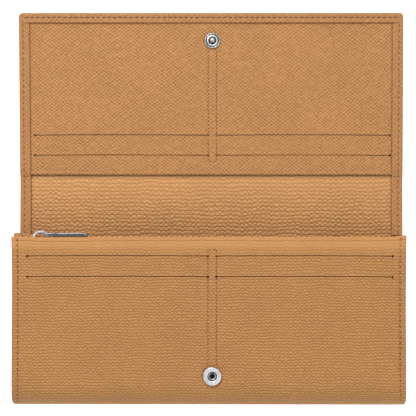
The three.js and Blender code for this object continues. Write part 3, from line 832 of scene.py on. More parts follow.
def far_blocks(y_end, share):
    """The far turned edge and its two corners, whose points draw in towards the inner corner."""
    y_far = y_end + FAR_BAND
    profile = hem_profile(hem_top(y_far))
    inner_left = cover_left(y_end) + HEM_BAND
    inner_right = cover_right(y_end) - HEM_BAND
    far = []
    for x in inner_left + (inner_right - inner_left) * share:
        far.append([(x, y_far - depth * FAR_BAND / HEM_BAND, z) for depth, z in profile])
    blocks = [np.array(far)]
    for sign, edge_at, inner_x in ((1, cover_left, inner_left), (-1, cover_right, inner_right)):
        outer = [(edge_at(y_end), y_end)]
        for angle in np.linspace(0, math.pi / 2, 9):
            corner_x = edge_at(y_far) + sign * HEM_CORNER * (1 - math.cos(angle))
            outer.append((corner_x, y_far - HEM_CORNER * (1 - math.sin(angle))))
        outer.append((inner_x, y_far))
        block = []
        for x, y in outer:
            shares = [(1 - depth / HEM_BAND, z) for depth, z in profile]
            block.append([(inner_x + (x - inner_x) * out, y_end + (y - y_end) * out, z) for out, z in shares])
        blocks.append(np.array(block))
    return blocks


def build_far_turn():
    """The far edge's turned strip, which lies over the side edges at both corners."""
    y_far = FLAP.y1 + FAR_SWELL
    x_span = (cover_left(y_far) + 1.7, cover_right(y_far) - 1.7)
    x, y, drop = rounded_grid(x_span, (y_far - FAR_HEM, y_far - 0.75), 2.0, 0.5, 0.3)
    channel = 0.13 * bump(y_far - FAR_STITCH - y, 0.3)
    top = FLAP.z1 + FAR_RISE - drop - channel
    piece = level_sheet("flap_far_turn", x, y, top, FLAP.z1 - 0.35, calm=np.full_like(x, HEM_CALM))
    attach(paint(piece, "cover_leather"), "flap")


def build_cover():
    """The cover in two pieces that meet on the middle of the spine, one for each fold."""
    rear_ys = cover_rows(BOTTOM_CENTRE, SEAM_Y)
    rear_ys = np.unique(np.concatenate([rear_ys, [BACK_HEM_ENDS - 0.02, BACK_HEM_ENDS + 0.02]]))
    rear = cover_piece("cover_rear_leather", rear_ys, False)
    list(REAR_FOLD)
    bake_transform(rear)
    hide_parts("back_cover", "spine_cover")
    flap = cover_piece("cover_flap_leather", cover_rows(SEAM_Y, FLAP.y1 + FAR_SWELL - FAR_BAND), True)
    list(FLAP_FOLD)
    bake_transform(flap)
    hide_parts("flap_cover")
    build_far_turn()


# ---- Coarse-grained lining over the spine ----------------------------------------------------------

def lining_height(x, y):
    swell = 0.28 * waves(x, y, 5, 46)
    return swell * smooth_step(np.minimum(x - LINING.x0, LINING.x1 - x), 3, 12)


def hem_details():
    """Fine steps in X where the turned edges end on the sheets they hold."""
    left = cover_left(SEAM_Y) + HEM_WIDTH
    right = cover_right(SEAM_Y) - HEM_WIDTH
    return [(left - 1.5, left + 1.2, 0.25), (right - 1.2, right + 1.5, 0.25)]


def hem_shade(x, y):
    """Painted shade: a dark line where the turned edges end over the sheet below."""
    inside = np.minimum(x - cover_left(y) - HEM_WIDTH, cover_right(y) - HEM_WIDTH - x)
    return 0.4 * bump(inside, 0.4)


def lining_sheet(name, y0, y1):
    xs = spaced(LINING.x0, LINING.x1, 1.2, hem_details())
    ys = spaced(y0, y1, 0.7, [(FLAP_PANEL.y0 - 3, FLAP_PANEL.y0 + 0.5, 0.25)])
    x, y = np.meshgrid(xs, ys)
    top = LINING.z1 - 0.12 + lining_height(x, y)
    # Painted shade where the turned edges end, and a painted shadow darkening the lining towards the edge of
    # the flap's card panel.
    shade = hem_shade(x, y) + 0.35 * smooth_step(y, FLAP_PANEL.y0 - 2.5, FLAP_PANEL.y0)
    # Calm smooths the grain and, towards the card panel, paints the lining paler: a painted highlight.
    calm = 0.35 * smooth_step(y, REAR_FOLD_Y, FLAP_PANEL.y0)
    return paint(level_sheet(name, x, y, top, LINING.z0, shade=shade, calm=calm), "spine_leather")


def plain_sheet(name, box):
    """A thin flat sheet with rounded edges, in the space of a CAD node."""
    radius = (box.z1 - box.z0) / 2
    x, y, drop = rounded_grid((box.x0, box.x1), (box.y0, box.y1), 4.0, 4.0, radius)
    return level_sheet(name, x, y, box.z1 - drop, box.z0 + drop, sharp_angle=80)


def build_linings():
    """The coarse-grained lining over the spine, and the smooth linings it laps over at both ends."""
    back, flap = Box("back_lining"), Box("flap_lining")
    low_y = back.y1 - LINING_LAP - 1
    high_y = FLAP_PANEL.y0 + LINING_LAP
    lower = lining_sheet("spine_lining_lower", low_y, SEAM_Y)
    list(REAR_FOLD)
    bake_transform(lower)
    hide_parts("spine_lining")
    upper = lining_sheet("spine_lining_upper", SEAM_Y, high_y)
    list(FLAP_FOLD)
    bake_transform(upper)
    back.y1 = low_y - 0.1
    flap.y0 = high_y + 0.1
    for node, body, box in (("back_lining", "back", back), ("flap_lining", "flap", flap)):
        made = paint(plain_sheet(f"{node}_sheet", box), "lining")
        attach(made, body)
        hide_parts(node)


# ---- Flap card panel -------------------------------------------------------------------------------

def flap_panel_top(x, y):
    """Height of the flap's card panel, and its painted shade in the cuts and along the turned edges."""
    cut, shade = slot_relief(x, y, FLAP_SLOTS_Y, FLAP_SLOT_ENDS, STUD.x)
    height = cut + 0.16 * waves(x, y, 21, 55)
    height += dent_round(x, y, STUD, 0.45)
    fade_in = (FLAP_DIVIDER_LOW - 0.5, FLAP_DIVIDER_LOW + 0.5)
    height += divider_relief(x, y, STUD.x, fade_in, (STUD.y - 4, STUD.y - 3))
    edge = y - FLAP_PANEL.y0
    height += -0.14 * bump(edge - 2.0, 0.22) + 0.12 * bump(edge - 1.0, 0.7) + 0.18 * bump(edge - 5, 3.0)
    return FLAP_PANEL.z1 - 0.1 + height, np.clip(shade + hem_shade(x, y), 0, 1)


def build_flap_panel():
    """The flap's card panel, rounded along its edge beside the spine."""
    radius = (FLAP_PANEL.z1 - FLAP_PANEL.z0) / 2
    details_x = rim_details(FLAP_PANEL.x0, FLAP_PANEL.x1, radius) + slot_columns(FLAP_SLOT_ENDS, STUD.x)
    details_x += [(STUD.x - 5, STUD.x + 5, 0.3), *hem_details()]
    near_y = FLAP_PANEL.y0
    details_y = [(near_y, near_y + radius, 0.1), (near_y + 1.4, near_y + 2.6, 0.12)]
    details_y += [(y - 0.6, y + 0.85, 0.1) for y in FLAP_SLOTS_Y]
    details_y.append((STUD.y - 6, STUD.y + 6, 0.4))
    xs = spaced(FLAP_PANEL.x0, FLAP_PANEL.x1, 1.0, details_x)
    ys = spaced(FLAP_PANEL.y0, FLAP_PANEL.y1, 1.0, details_y)
    x, y = np.meshgrid(xs, ys)
    height, shade = flap_panel_top(x, y)
    drop = rim_drop(y - FLAP_PANEL.y0, radius)
    top = np.minimum(height, FLAP_PANEL.z1 + 0.08) - drop
    piece = level_sheet("flap_panel_leather", x, y, top, FLAP_PANEL.z0 + drop, shade=shade)
    paint(piece, "flap_leather")
    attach(piece, "flap")
    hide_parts("flap_card_panel")


# ---- Front leather over the pocket body ------------------------------------------------------------

def front_half_width(y):
    """Half the body's width: it tapers away from the mouth and is drawn in at the bottom corners."""
    inside = np.clip(y - FRONT.y0, 0, CORNER_ROUND)
    corner = CORNER_ROUND - np.sqrt(CORNER_ROUND**2 - (CORNER_ROUND - inside) ** 2)
    taper = BODY_TAPER * (1 - np.exp(-np.maximum(FRONT.y1 - y, 0) / TAPER_REACH))
    swell = BOTTOM_SWELL * (1 - smooth_step(y, FRONT.y0, FRONT.y0 + FRONT_RADIUS))
    return FRONT_HALF - corner - taper + swell


def front_height(x, y):
    """Relief of the front leather at a place seen from above, and its shade."""
    cut, shade = slot_relief(x, y, FRONT_SLOTS_Y, FRONT_SLOT_ENDS, SOCKET.x)
    height = cut + 0.2 * waves(x, y, 33, 60)
    height += dent_round(x, y, SOCKET, 0.6)
    fade_out = (FRONT_DIVIDER_TOP - 0.5, FRONT_DIVIDER_TOP + 0.5)
    height += divider_relief(x, y, SOCKET.x, (SOCKET.y + 4, SOCKET.y + 5), fade_out)
    mouth = FRONT.y1 - y
    height += -0.20 * bump(mouth - 2.2, 0.28) + 0.16 * bump(mouth - 1.1, 0.8) + 0.16 * bump(mouth - 5.5, 2.6)
    from_side = np.minimum(x - FRONT.x0, FRONT.x1 - x)
    height += seam_channel(from_side - SIDE_STITCH, 0.22, 0.6)
    height -= 0.35 * (1 - smooth_step(from_side, 0, 4.5))
    return height, shade


def front_surface(share, s, depth):
    """A point of the front leather, and the y of its outer face there.

    Share runs across from -1 to 1, s down from the mouth, and depth into the leather.
    """
    flat = s <= FRONT_FLAT
    angle = np.where(flat, 0, (s - FRONT_FLAT) / FRONT_RADIUS)
    reach = FRONT_RADIUS - depth
    y = np.where(flat, FRONT.y1 - s, FRONT_CENTRE_Y - reach * np.sin(angle))
    at_puller = smooth_step(share, PULLER_START, PULLER_START + 0.03)
    at_puller = at_puller * (1 - smooth_step(share, PULLER_END, PULLER_END + 0.12))
    at_corner = smooth_step(share, 0.92, 1.0)
    y = y + (MOUTH_RISE * at_corner - MOUTH_DIP * at_puller) * (1 - smooth_step(s, 0, 8))
    z = np.where(flat, FRONT.z1 - depth, FRONT_CENTRE_Z + reach * np.cos(angle))
    plan_y = np.where(flat, FRONT.y1 - s, FRONT_CENTRE_Y - FRONT_RADIUS * np.sin(angle))
    x = FRONT.x + share * front_half_width(plan_y)
    return x, y, z, plan_y


def front_columns(radius):
    """Places across the front, closer together at its rims, slot ends, snap and side seams."""
    details = rim_details(FRONT.x0, FRONT.x1, radius) + slot_columns(FRONT_SLOT_ENDS, SOCKET.x)
    details.append((SOCKET.x - 6, SOCKET.x + 6, 0.35))
    details += [(FRONT.x0 + 1.8, FRONT.x0 + 4, 0.3), (FRONT.x1 - 4, FRONT.x1 - 1.8, 0.3)]
    return spaced(FRONT.x0, FRONT.x1, 1.0, details)


def front_rows(length, radius):
    """Places down the front, closer together at the mouth, slots, snap and bend."""
    details = [(0, radius, 0.1), (1.0, 3.2, 0.15)]
    details += [(FRONT.y1 - y - 0.85, FRONT.y1 - y + 0.5, 0.1) for y in FRONT_SLOTS_Y]
    details += [(FRONT.y1 - SOCKET.y - 6, FRONT.y1 - SOCKET.y + 6, 0.4), (FRONT_FLAT - 2, length, 0.7)]
    return spaced(0, length, 1.0, details)


def build_front():
    """The front leather, from the mouth to where the bottom wrap joins it."""
    radius = LEATHER / 2
    length = FRONT_FLAT + FRONT_RADIUS * FRONT_JOIN
    xs = front_columns(radius)
    x, s = np.meshgrid(xs, front_rows(length, radius))
    share = (x - FRONT.x) / FRONT_HALF
    plan_y = front_surface(share, s, 0)[3]
    relief, shade = front_height(x, plan_y)
    relief = relief * (1 - smooth_step(s, length - 9, length - 1))
    from_side = np.minimum(x - FRONT.x0, FRONT.x1 - x)
    drop = rim_drop(np.minimum(from_side, s), radius)
    top = np.stack(front_surface(share, s, FRONT_SINK - np.minimum(relief, 0.35) + drop)[:3], -1)
    bottom = np.stack(front_surface(share, s, LEATHER - drop)[:3], -1)
    uv = np.stack([x, FRONT.y1 - s], -1)
    # Calm smooths the grain along the mouth and paints that band paler: a painted highlight.
    calm = 0.4 * (1 - smooth_step(s, 3.5, 11.0))
    piece = sheet("front_leather", top, bottom, uv=uv, shade=shade, calm=calm)
    paint(piece, "front_leather")
    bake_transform(piece)
    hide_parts("front_panel")
    build_bottom_wrap(xs, radius, length)


def build_bottom_wrap(xs, radius, front_length):
    """The leather that carries on from the front, round the bottom fold, to the back."""
    bend_end = FRONT_RADIUS * (math.pi / 2 - FRONT_JOIN)
    step_end = bend_end + BOTTOM_STEP
    end = step_end + BOTTOM_RADIUS * math.pi / 2
    ss = np.concatenate([np.linspace(0, bend_end, 5)[:-1], [bend_end], np.linspace(step_end, end, 22)])
    x, s = np.meshgrid(xs, ss)
    share = (x - FRONT.x) / FRONT_HALF
    drop = rim_drop(np.minimum(x - FRONT.x0, FRONT.x1 - x), radius)

    def place(depth):
        """Points of the wrap at a depth into the leather: the end of the bend, the step and the fold."""
        on_bend = s <= bend_end
        on_step = s < step_end
        front_angle = FRONT_JOIN + s / FRONT_RADIUS
        fold_angle = (s - step_end) / BOTTOM_RADIUS
        front_reach, fold_reach = FRONT_RADIUS - depth, BOTTOM_RADIUS - depth
        fold_y = np.where(on_step, FRONT.y0 + depth, BOTTOM_CENTRE - fold_reach * np.cos(fold_angle))
        fold_z = np.where(on_step, FRONT_CENTRE_Z, BOTTOM_RADIUS - fold_reach * np.sin(fold_angle))
        y = np.where(on_bend, FRONT_CENTRE_Y - front_reach * np.sin(front_angle), fold_y)
        z = np.where(on_bend, FRONT_CENTRE_Z + front_reach * np.cos(front_angle), fold_z)
        plan_y = np.where(on_bend, FRONT_CENTRE_Y - FRONT_RADIUS * np.sin(front_angle), FRONT.y0)
        return np.stack([FRONT.x + share * front_half_width(plan_y), y, z], -1)

    uv = np.stack([x, FRONT.y1 - front_length - s], -1)
    piece = sheet("bottom_wrap_leather", place(FRONT_SINK + drop), place(LEATHER - drop), uv=uv)
    paint(piece, "front_leather")
    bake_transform(piece)
    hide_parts("bottom_fold")


# ---- Pockets and gussets ---------------------------------------------------------------------------

def sink_mouth(piece, box):
    """Lowers a wall's mouth edge everywhere but at its left corner, which stands up beside the zip's end."""
    points = np.array([vertex.co for vertex in piece.data.vertices]) / MM
    past_corner = smooth_step(points[:, 0], box.x0 + 4, box.x0 + 18)
    near_mouth = smooth_step(points[:, 1], box.y1 - 14, box.y1)
    points[:, 1] -= WALL_SINK * past_corner * near_mouth
    piece.data.vertices.foreach_set("co", (points * MM).astype(np.float32).ravel())


def build_pockets():
    """The flat sheets of the body: the coin pocket, the front's lining and the zip's tapes."""
    pieces = [
        # The two walls take the paler leather, painted light against the shade between the layers.
        ("coin_pocket_rear_wall", "coin_pocket", "pocket_leather", "leather"),
        ("coin_pocket_front_wall", "coin_pocket", "pocket_leather", "leather"),
        ("coin_pocket_base", "coin_pocket", "lining", "lining"),
        ("coin_pocket_side_left", "coin_pocket", "lining", "lining"),
        ("coin_pocket_side_right", "coin_pocket", "lining", "lining"),
        ("front_lining", "front_section", "lining", "lining"),
        ("zip_tape_rear", "coin_pocket", "tape", "zip_tape"),
        ("zip_tape_front", "coin_pocket", "tape", "zip_tape"),
    ]
    for node, body, material, slot in pieces:
        box = Box(node)
        if node.endswith("wall"):
            box.x0 -= WALL_EXTRA
        made = paint(plain_sheet(f"{node}_piece", box), material)
        if node == "coin_pocket_rear_wall":
            sink_mouth(made, box)
        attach(made, body)
        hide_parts(node)


def gusset(node):
    """A soft folded strip between two sheets: it goes in, turns and comes back out."""
    box = Box(node)
    side = -1 if box.x < 0 else 1
    outer = box.x0 if side < 0 else box.x1
    thick = 0.5
    half_z = (box.z1 - box.z0) / 2 - thick / 2
    turns = np.linspace(0, math.pi, 25)[None, :]
    ys = spaced(box.y0, box.y1, 3.0)[:, None]
    reach = box.x1 - box.x0 - 0.8 + 0.35 * np.sin(ys / 11.0 + side)

    def skin(offset):
        inward = reach * np.maximum(np.sin(turns), 0) ** 0.75
        x = outer - side * (inward + offset * np.sin(turns))
        z = box.z - (half_z + offset * np.abs(np.cos(turns))) * np.cos(turns)
        return np.stack(np.broadcast_arrays(x, ys, z), -1)

    piece = sheet(f"{node}_fold", skin(thick / 2), skin(-thick / 2), sharp_angle=60)
    paint(piece, "lining")
    mid_point(0, box.z0)
    mid_point(0, box.z1)
    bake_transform(piece)
    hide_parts(node)


def build_wall_seams():
    """Stitches down both sides of the coin pocket's rear wall, seen at the corners of the mouth."""
    places = []
    for x in (REAR_WALL.x0 + WALL_STITCH, REAR_WALL.x1 - WALL_STITCH):
        top = (x, REAR_WALL.y1 - 0.3)
        low = (x, REAR_WALL.y1 - WALL_SEAM)
        places += line_of_stitches(top, low, SIDE_PITCH, lambda x, y: REAR_WALL.z1)
    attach(stitch_row("wall_seam_thread", places, 0.55, 0.10, "brown_thread"), "coin_pocket")


def build_bottom_ends():
    """The leather turned in at both ends of the rounded bottom edge, which closes the hollow behind it."""
    front_inner, fold_inner = FRONT_RADIUS - LEATHER + 0.2, BOTTOM_RADIUS - LEATHER + 0.2
    upper = circle(FRONT_CENTRE_Y, FRONT_CENTRE_Z, front_inner, math.pi / 2, math.pi, 9)
    lower = circle(BOTTOM_CENTRE, BOTTOM_RADIUS, fold_inner, math.pi, 1.5 * math.pi, 9)
    near_y = REAR_WALL.y0 + 1.2
    inside = [place for place in upper if place[0] < near_y]
    rim = [(near_y, upper[0][1]), *inside, *lower, (near_y, lower[-1][1])]
    middle = np.array([near_y, (upper[0][1] + lower[-1][1]) / 2])
    for side, name in ((-1, "left"), (1, "right")):
        outer = FRONT.x + side * (front_half_width(np.array(FRONT.y0)) - 1.0)
        rings = []
        for share, depth in ((1.0, 0.0), (0.92, 0.35), (0.7, 0.9), (0.35, 1.3), (0.0, 1.4)):
            ring = middle + (np.array(rim) - middle) * share
            rings.append(np.insert(ring, 0, outer - side * depth, axis=1))
        face = np.array(rings)
        back = face - [side * 0.6, 0, 0]
        calm = np.full(face.shape[:2], 0.25)
        piece = sheet(f"bottom_end_{name}", face, back, uv=face[..., 1:], calm=calm, sharp_angle=70)
        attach(paint(piece, "cover_leather"), "coin_pocket")


def build_gussets():
    for side in ("left", "right"):
        gusset(f"rear_gusset_{side}")
        gusset(f"front_gusset_{side}")


# ---- Metal parts -----------------------------------------------------------------------------------

def lathe(name, profile, centre_x, centre_y, segments=64, closed=False):
    """A turned part from (radius, height) or (radius, height, shade) points. Closed makes a ring."""
    points, faces, shades = [], [], []
    for step in range(segments):
        angle = 2 * math.pi * step / segments
        for radius, height, *dark in profile:
            points.append((centre_x + radius * math.cos(angle), centre_y + radius * math.sin(angle), height))
            shades.append(dark[0] if dark else 0.0)
    count = len(profile)
    for step in range(segments):
        a, b = step * count, (step + 1) % segments * count
        for index in range(count if closed else count - 1):
            other = (index + 1) % count
            faces.append([a + index, b + index, b + other, a + other])
    return finish_mesh(name, np.array(points), faces, shade=shades, sharp_angle=50, weld=1e-3)


def arc(centre, radius, start, end, steps=6):
    """Points of an arc in (radius, height) space, from start to end in degrees."""
    return circle(*centre, radius, math.radians(start), math.radians(end), steps)


def build_stud():
    """The snap's ball on its dished collar, from the leather up and in to the top of the ball."""
    base, top = STUD.z0, STUD.z1
    outer = (STUD.x1 - STUD.x0) / 2
    lip = base + 0.66
    ball, ball_height = 1.42, 1.05
    # The third number of a point is painted shade: at the foot, in the grooves and dish, and round the ball's
    # stem.
    profile = [(0, base), (outer - 0.15, base, 0.5)]
    profile += arc((outer - 0.27, lip - 0.27), 0.27, -60, 150)
    dish = base + 0.3
    profile += [(outer - 0.60, dish, 0.8), (outer - 0.80, dish, 0.8), (outer - 0.95, lip - 0.1, 0.2)]
    profile += [(outer - 1.12, lip + 0.08), (2.2, lip + 0.14), (1.98, lip + 0.06), (1.86, dish, 1)]
    profile += [(1.45, dish, 1), (1.15, base + 0.75, 0.8), (1.12, base + 1.1, 0.5), (1.3, base + 1.5, 0.1)]
    for angle in np.linspace(0.1, math.pi / 2, 9):
        profile.append((ball * math.cos(angle), top - ball_height * (1 - math.sin(angle))))
    profile[-1] = (0, top)
    piece = paint(lathe("snap_stud_turned", profile, STUD.x, STUD.y), "stud_nickel")
    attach(piece, "flap")
    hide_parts("snap_stud")


def build_socket():
    """The snap's ring on the front, with painted shade on its bevel down into the bore, and the well under it.
    """
    outer = (SOCKET.x1 - SOCKET.x0) / 2
    base, top, tube = FRONT.z1, SOCKET.z1, SOCKET.z0
    bore = 1.95
    # The third number of a point is painted shade: at the ring's foot and down the bevel.
    profile = [(bore, tube), (2.55, tube), (2.6, base + 0.02), (outer - 0.2, base, 0.4)]
    profile += arc((outer - 0.35, base + 0.35), 0.35, -70, 20)
    profile += arc((outer - 0.42, top - 0.42), 0.38, 10, 80)
    profile += [(outer - 0.8, top - 0.02), (2.55, top), (2.32, top - 0.08, 0.1)]
    profile += [(2.2, top - 0.35, 1), (2.08, top - 0.5, 1), (bore, top - 0.62, 0.8)]
    piece = lathe("snap_socket_turned", profile, SOCKET.x, SOCKET.y, closed=True)
    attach(paint(piece, "snap_nickel"), "front_section")
    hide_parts("snap_socket")
    floor = base - 0.55
    # The well is painted dark, darkest at its centre: painted shade in the snap's hole.
    well = [(0, floor - 0.1), (bore - 0.05, floor - 0.1), (bore - 0.05, top - 0.7, 0.7)]
    well += [(bore - 0.12, floor + 0.3, 0.6), (1.3, floor + 0.05, 0.85), (1.1, floor, 1), (0, floor, 1)]
    cup = paint(lathe("snap_socket_well", well, SOCKET.x, SOCKET.y), "snap_nickel")
    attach(cup, "front_section")


def build_socket_spring():
    """Two bowed wires just under the socket's rim, which grip the stud's ball."""
    wire, hoop, sides, rings = 0.19, 1.68, 10, 17
    half_turn = math.radians(58)
    wire_z = SOCKET.z1 - 0.48
    points, faces = [], []
    for side in (-1, 1):
        faces += tube_faces(len(points), rings, sides)
        for ring in range(rings):
            turn = half_turn * (2 * ring / (rings - 1) - 1)
            for step in range(sides):
                angle = 2 * math.pi * step / sides
                reach = hoop + wire * math.cos(angle)
                place = (SOCKET.x + side * reach * math.cos(turn), SOCKET.y + reach * math.sin(turn))
                points.append((*place, wire_z + wire * math.sin(angle)))
    wires = finish_mesh("socket_spring_wires", np.array(points), faces, weld=1e-5)
    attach(paint(wires, "snap_nickel"), "front_section")
    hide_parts("socket_spring")


def solid_outline(name, outline, holes, z0, z1, bevel):
    """A flat outline in X and Y with holes, given thickness and rounded edges."""
    curve = bpy.data.curves.new(name, "CURVE")
    curve.dimensions = "2D"
    curve.fill_mode = "BOTH"
    for loop in [outline, *holes]:
        spline = curve.splines.new("POLY")
        spline.points.add(len(loop) - 1)
        for point, (x, y) in zip(spline.points, loop):
            point.co = (x * MM, y * MM, 0, 1)
        spline.use_cyclic_u = True
    curve.extrude = ((z1 - z0) / 2 - bevel) * MM
    curve.bevel_depth = bevel * MM
    curve.bevel_resolution = 2
    curve.offset = -bevel * MM
    holder = new_object(name + "_curve", curve)
    holder.location = (0, 0, (z0 + z1) / 2 * MM)
    bpy.context.view_layer.update()
    made = bpy.data.meshes.new_from_object(holder.evaluated_get(bpy.context.evaluated_depsgraph_get()))
    made.transform(holder.matrix_world)
    bpy.data.objects.remove(holder)
    work = bmesh.new()
    work.from_mesh(made)
    bmesh.ops.remove_doubles(work, verts=work.verts, dist=1e-6)
    bmesh.ops.recalc_face_normals(work, faces=work.faces)
    work.to_mesh(made)
    work.free()
    made.name = name
    made.shade_smooth()
    made.set_sharp_from_angle(angle=math.radians(40))
    return new_object(name, made)


def paint_shade_below(piece, low, high, depth):
    """Paints shade on a part towards its lower edge in Y, where the puller's underside faces the dark gap
    below it.
    """
    heights = np.array([vertex.co.y for vertex in piece.data.vertices]) / MM
    shade = piece.data.attributes.new(SHADE, "FLOAT", "POINT")
    shade.data.foreach_set("value", (depth * (1 - smooth_step(heights, low, high))).astype(np.float32))


def build_puller():
    """The puller: a strip folded double round an eye, open between two arms where the bridge passes."""
    pivot_x, pivot_y, _ = pivot_of("puller_swing")
    pivot_y += 0.12
    low_z, high_z = PULLER.z0, PULLER.z1
    half = (PULLER.y1 - PULLER.y0) / 2 + 0.14
    nose_length = 1.7 * half
    core_half = 0.6
    bar_radius = 0.42
    arm_thick = 0.62
    ply_gap = 0.26
    body_start = pivot_x + 6.4
    full_from = pivot_x + 2.4
    eye_x, eye_radius = PULLER.x1 - 2.2, 0.52

    # The core pieces fill the gap between the plies and stand in for the shade in it, so the slit shows dark.
    def core(start, end):
        low_y, high_y = pivot_y - core_half, pivot_y + core_half
        return [(start, low_y), (end, low_y), (end, high_y), (start, high_y)]

    def arm(side):
        start, end = pivot_x - bar_radius, body_start + 0.5
        outer_y, gap_y = pivot_y + side * half, pivot_y + side * ply_gap
        tip = [(start, pivot_y), (start, pivot_y + side * bar_radius), (full_from, outer_y)]
        return [*tip, (end, outer_y), (end, gap_y), (full_from, gap_y)]

    outline = [(body_start, pivot_y - 0.5), (body_start + 0.1, pivot_y - half)]
    for angle in np.linspace(-math.pi / 2, math.pi / 2, 13):
        outline.append((PULLER.x1 - nose_length * (1 - math.cos(angle)), pivot_y + half * math.sin(angle)))
    outline += [(body_start + 0.1, pivot_y + half), (body_start, pivot_y + 0.5)]
    slit = circle(eye_x, pivot_y, eye_radius, -2.7, 2.7, 13)
    slit = [(body_start + 0.4, pivot_y - ply_gap), *slit, (body_start + 0.4, pivot_y + ply_gap)]
    tab = solid_outline("zip_puller_tab", outline, [slit], low_z, high_z, 0.16)
    body_core = core(body_start, eye_x + eye_radius + 0.1)
    parts = [tab, solid_outline("puller_core", body_core, [], low_z + 0.35, high_z - 0.35, 0.05)]
    for index, (low, high) in enumerate(((low_z, low_z + arm_thick), (high_z - arm_thick, high_z))):
        arm_core = core(full_from, body_start + 0.2)
        parts.append(solid_outline(f"puller_core_{index}", arm_core, [], low + 0.14, high - 0.14, 0.04))
        for side in (-1, 1):
            parts.append(solid_outline(f"puller_arm_{index}_{side + 1}", arm(side), [], low, high, 0.12))
    bar = circle(pivot_x, pivot_y, bar_radius, 0, 2 * math.pi, 17)[:-1]
    parts.append(solid_outline("puller_bar", bar, [], low_z + 0.1, high_z - 0.1, 0.08))
    for part in parts:
        paint(part, "puller_nickel")
        # Painted shade on the lower side of every part, where it faces the dark gap below.
        paint_shade_below(part, pivot_y - 0.5, pivot_y - 0.1, 0.95)
        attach(part, "puller")
    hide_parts("zip_puller")


def build_teeth():
    """Cast teeth along both tapes, each a rounded block with a narrower head, set half a pitch apart."""
    pitch = 2.0
    root_half, head_half = 0.62, 0.42
    overlap = 0.12
    for node, side in (("zip_teeth_rear", -1), ("zip_teeth_front", 1)):
        box = Box(node)
        root = box.z0 if side < 0 else box.z1
        tip = box.z1 + overlap if side < 0 else box.z0 - overlap
        middle = (root + tip) / 2
        count = int((box.x1 - box.x0 - 1) / pitch)
        start = Box("zip_teeth_rear").x0 + 1 + (0 if side < 0 else pitch / 2)
        work = bmesh.new()
        for index in range(count):
            x = start + index * pitch
            for half_x, z_from, z_to in ((root_half, root, middle), (head_half, middle, tip)):
                block = bmesh.ops.create_cube(work, size=1.0)["verts"]
                for vert in block:
                    vert.co.x = (x + vert.co.x * 2 * half_x) * MM
                    vert.co.y = (box.y + vert.co.y * (box.y1 - box.y0)) * MM
                    vert.co.z = ((z_from + z_to) / 2 + vert.co.z * (z_to - z_from)) * MM
        bmesh.ops.recalc_face_normals(work, faces=work.faces)
        bmesh.ops.bevel(work, geom=work.edges[:], offset=0.07 * MM, segments=1, affect="EDGES")
        mesh = bpy.data.meshes.new(f"{node}_cast")
        work.to_mesh(mesh)
        work.free()
        mesh.shade_smooth()
        mesh.set_sharp_from_angle(angle=math.radians(50))
        piece = paint(new_object(f"{node}_cast", mesh), "zip_nickel")
        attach(piece, "coin_pocket")
        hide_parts(node)


def bevel_node(node, width):
    """Rounds a CAD node's edges for the picture, without touching its mesh."""
    piece = frame["nodes"][node]
    weld = piece.modifiers.new("weld", "WELD")
    weld.merge_threshold = 1e-6
    rounded = piece.modifiers.new("rounded", "BEVEL")
    rounded.width = width * MM
    rounded.segments = 3
    rounded.limit_method = "ANGLE"
    rounded.angle_limit = math.radians(40)
    for face in piece.data.polygons:
        face.use_smooth = True


# ---- Seams -----------------------------------------------------------------------------------------

def side_hem_places(y_low, y_high):
    """Stitches along the turned edges of both sides of the cover, from one y to another."""
    count = round((y_high - y_low) / HEM_PITCH)
    places = []
    for edge_at, inward in ((cover_left, HEM_STITCH), (cover_right, -HEM_STITCH)):
        for index in range(count):
            y = y_low + (index + 0.5) * (y_high - y_low) / count
            centre = (edge_at(y) + inward, y, hem_top(y) - HEM_GROOVE)
            places.append((centre, (STITCH_SLANT, 1, 0), UP, 0.5 * HEM_PITCH))
    return places


def build_hem_seams():
    """Stitches along the turned edge: the flap's sides and far edge in one piece, the spine's in another."""
    far_y = FLAP.y1 + FAR_SWELL - FAR_STITCH
    inward = HEM_STITCH + 0.6
    start, end = (cover_left(far_y) + inward, far_y), (cover_right(far_y) - inward, far_y)
    places = side_hem_places(SEAM_Y, FLAP.y1 + FAR_SWELL - FAR_HEM)
    places += line_of_stitches(start, end, HEM_PITCH, lambda x, y: FLAP.z1 + FAR_RISE, STITCH_SLANT)
    flap = stitch_row("flap_hem_thread", places, HEM_THREAD_WIDTH, 0.12, "hem_thread")
    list(FLAP_FOLD)
    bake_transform(flap)
    places = side_hem_places(BACK_HEM_ENDS, SEAM_Y)
    rear = stitch_row("spine_hem_thread", places, HEM_THREAD_WIDTH, 0.12, "hem_thread")
    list(REAR_FOLD)
    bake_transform(rear)


def divider_stitches(name, centre_x, low, high, cross_y, surface):
    """A divider's two lines of stitches, joined by a short line across one end."""
    left, right = centre_x - DIVIDER_HALF, centre_x + DIVIDER_HALF
    places = []
    for x in (left, right):
        places += line_of_stitches((x, low), (x, high), DIVIDER_PITCH, surface, 0.06)
    places += line_of_stitches((left, cross_y), (right, cross_y), DIVIDER_PITCH, surface)
    return stitch_row(name, places, DIVIDER_THREAD_WIDTH, 0.11, "tan_thread")


def build_divider_seams():
    """Both dividers' stitches, laid on the leather's relief."""
    def flap_z(x, y):
        return float(flap_panel_top(np.array([x]), np.array([y]))[0][0]) + 0.02

    def front_z(x, y):
        return FRONT.z1 - FRONT_SINK + float(front_height(np.array([x]), np.array([y]))[0][0]) + 0.02

    low, high = FLAP_DIVIDER_LOW, STUD.y - 4.6
    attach(divider_stitches("flap_divider_thread", STUD.x, low, high, low, flap_z), "flap")
    low, high = SOCKET.y + 5.2, FRONT_DIVIDER_TOP
    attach(divider_stitches("front_divider_thread", SOCKET.x, low, high, high, front_z), "front_section")


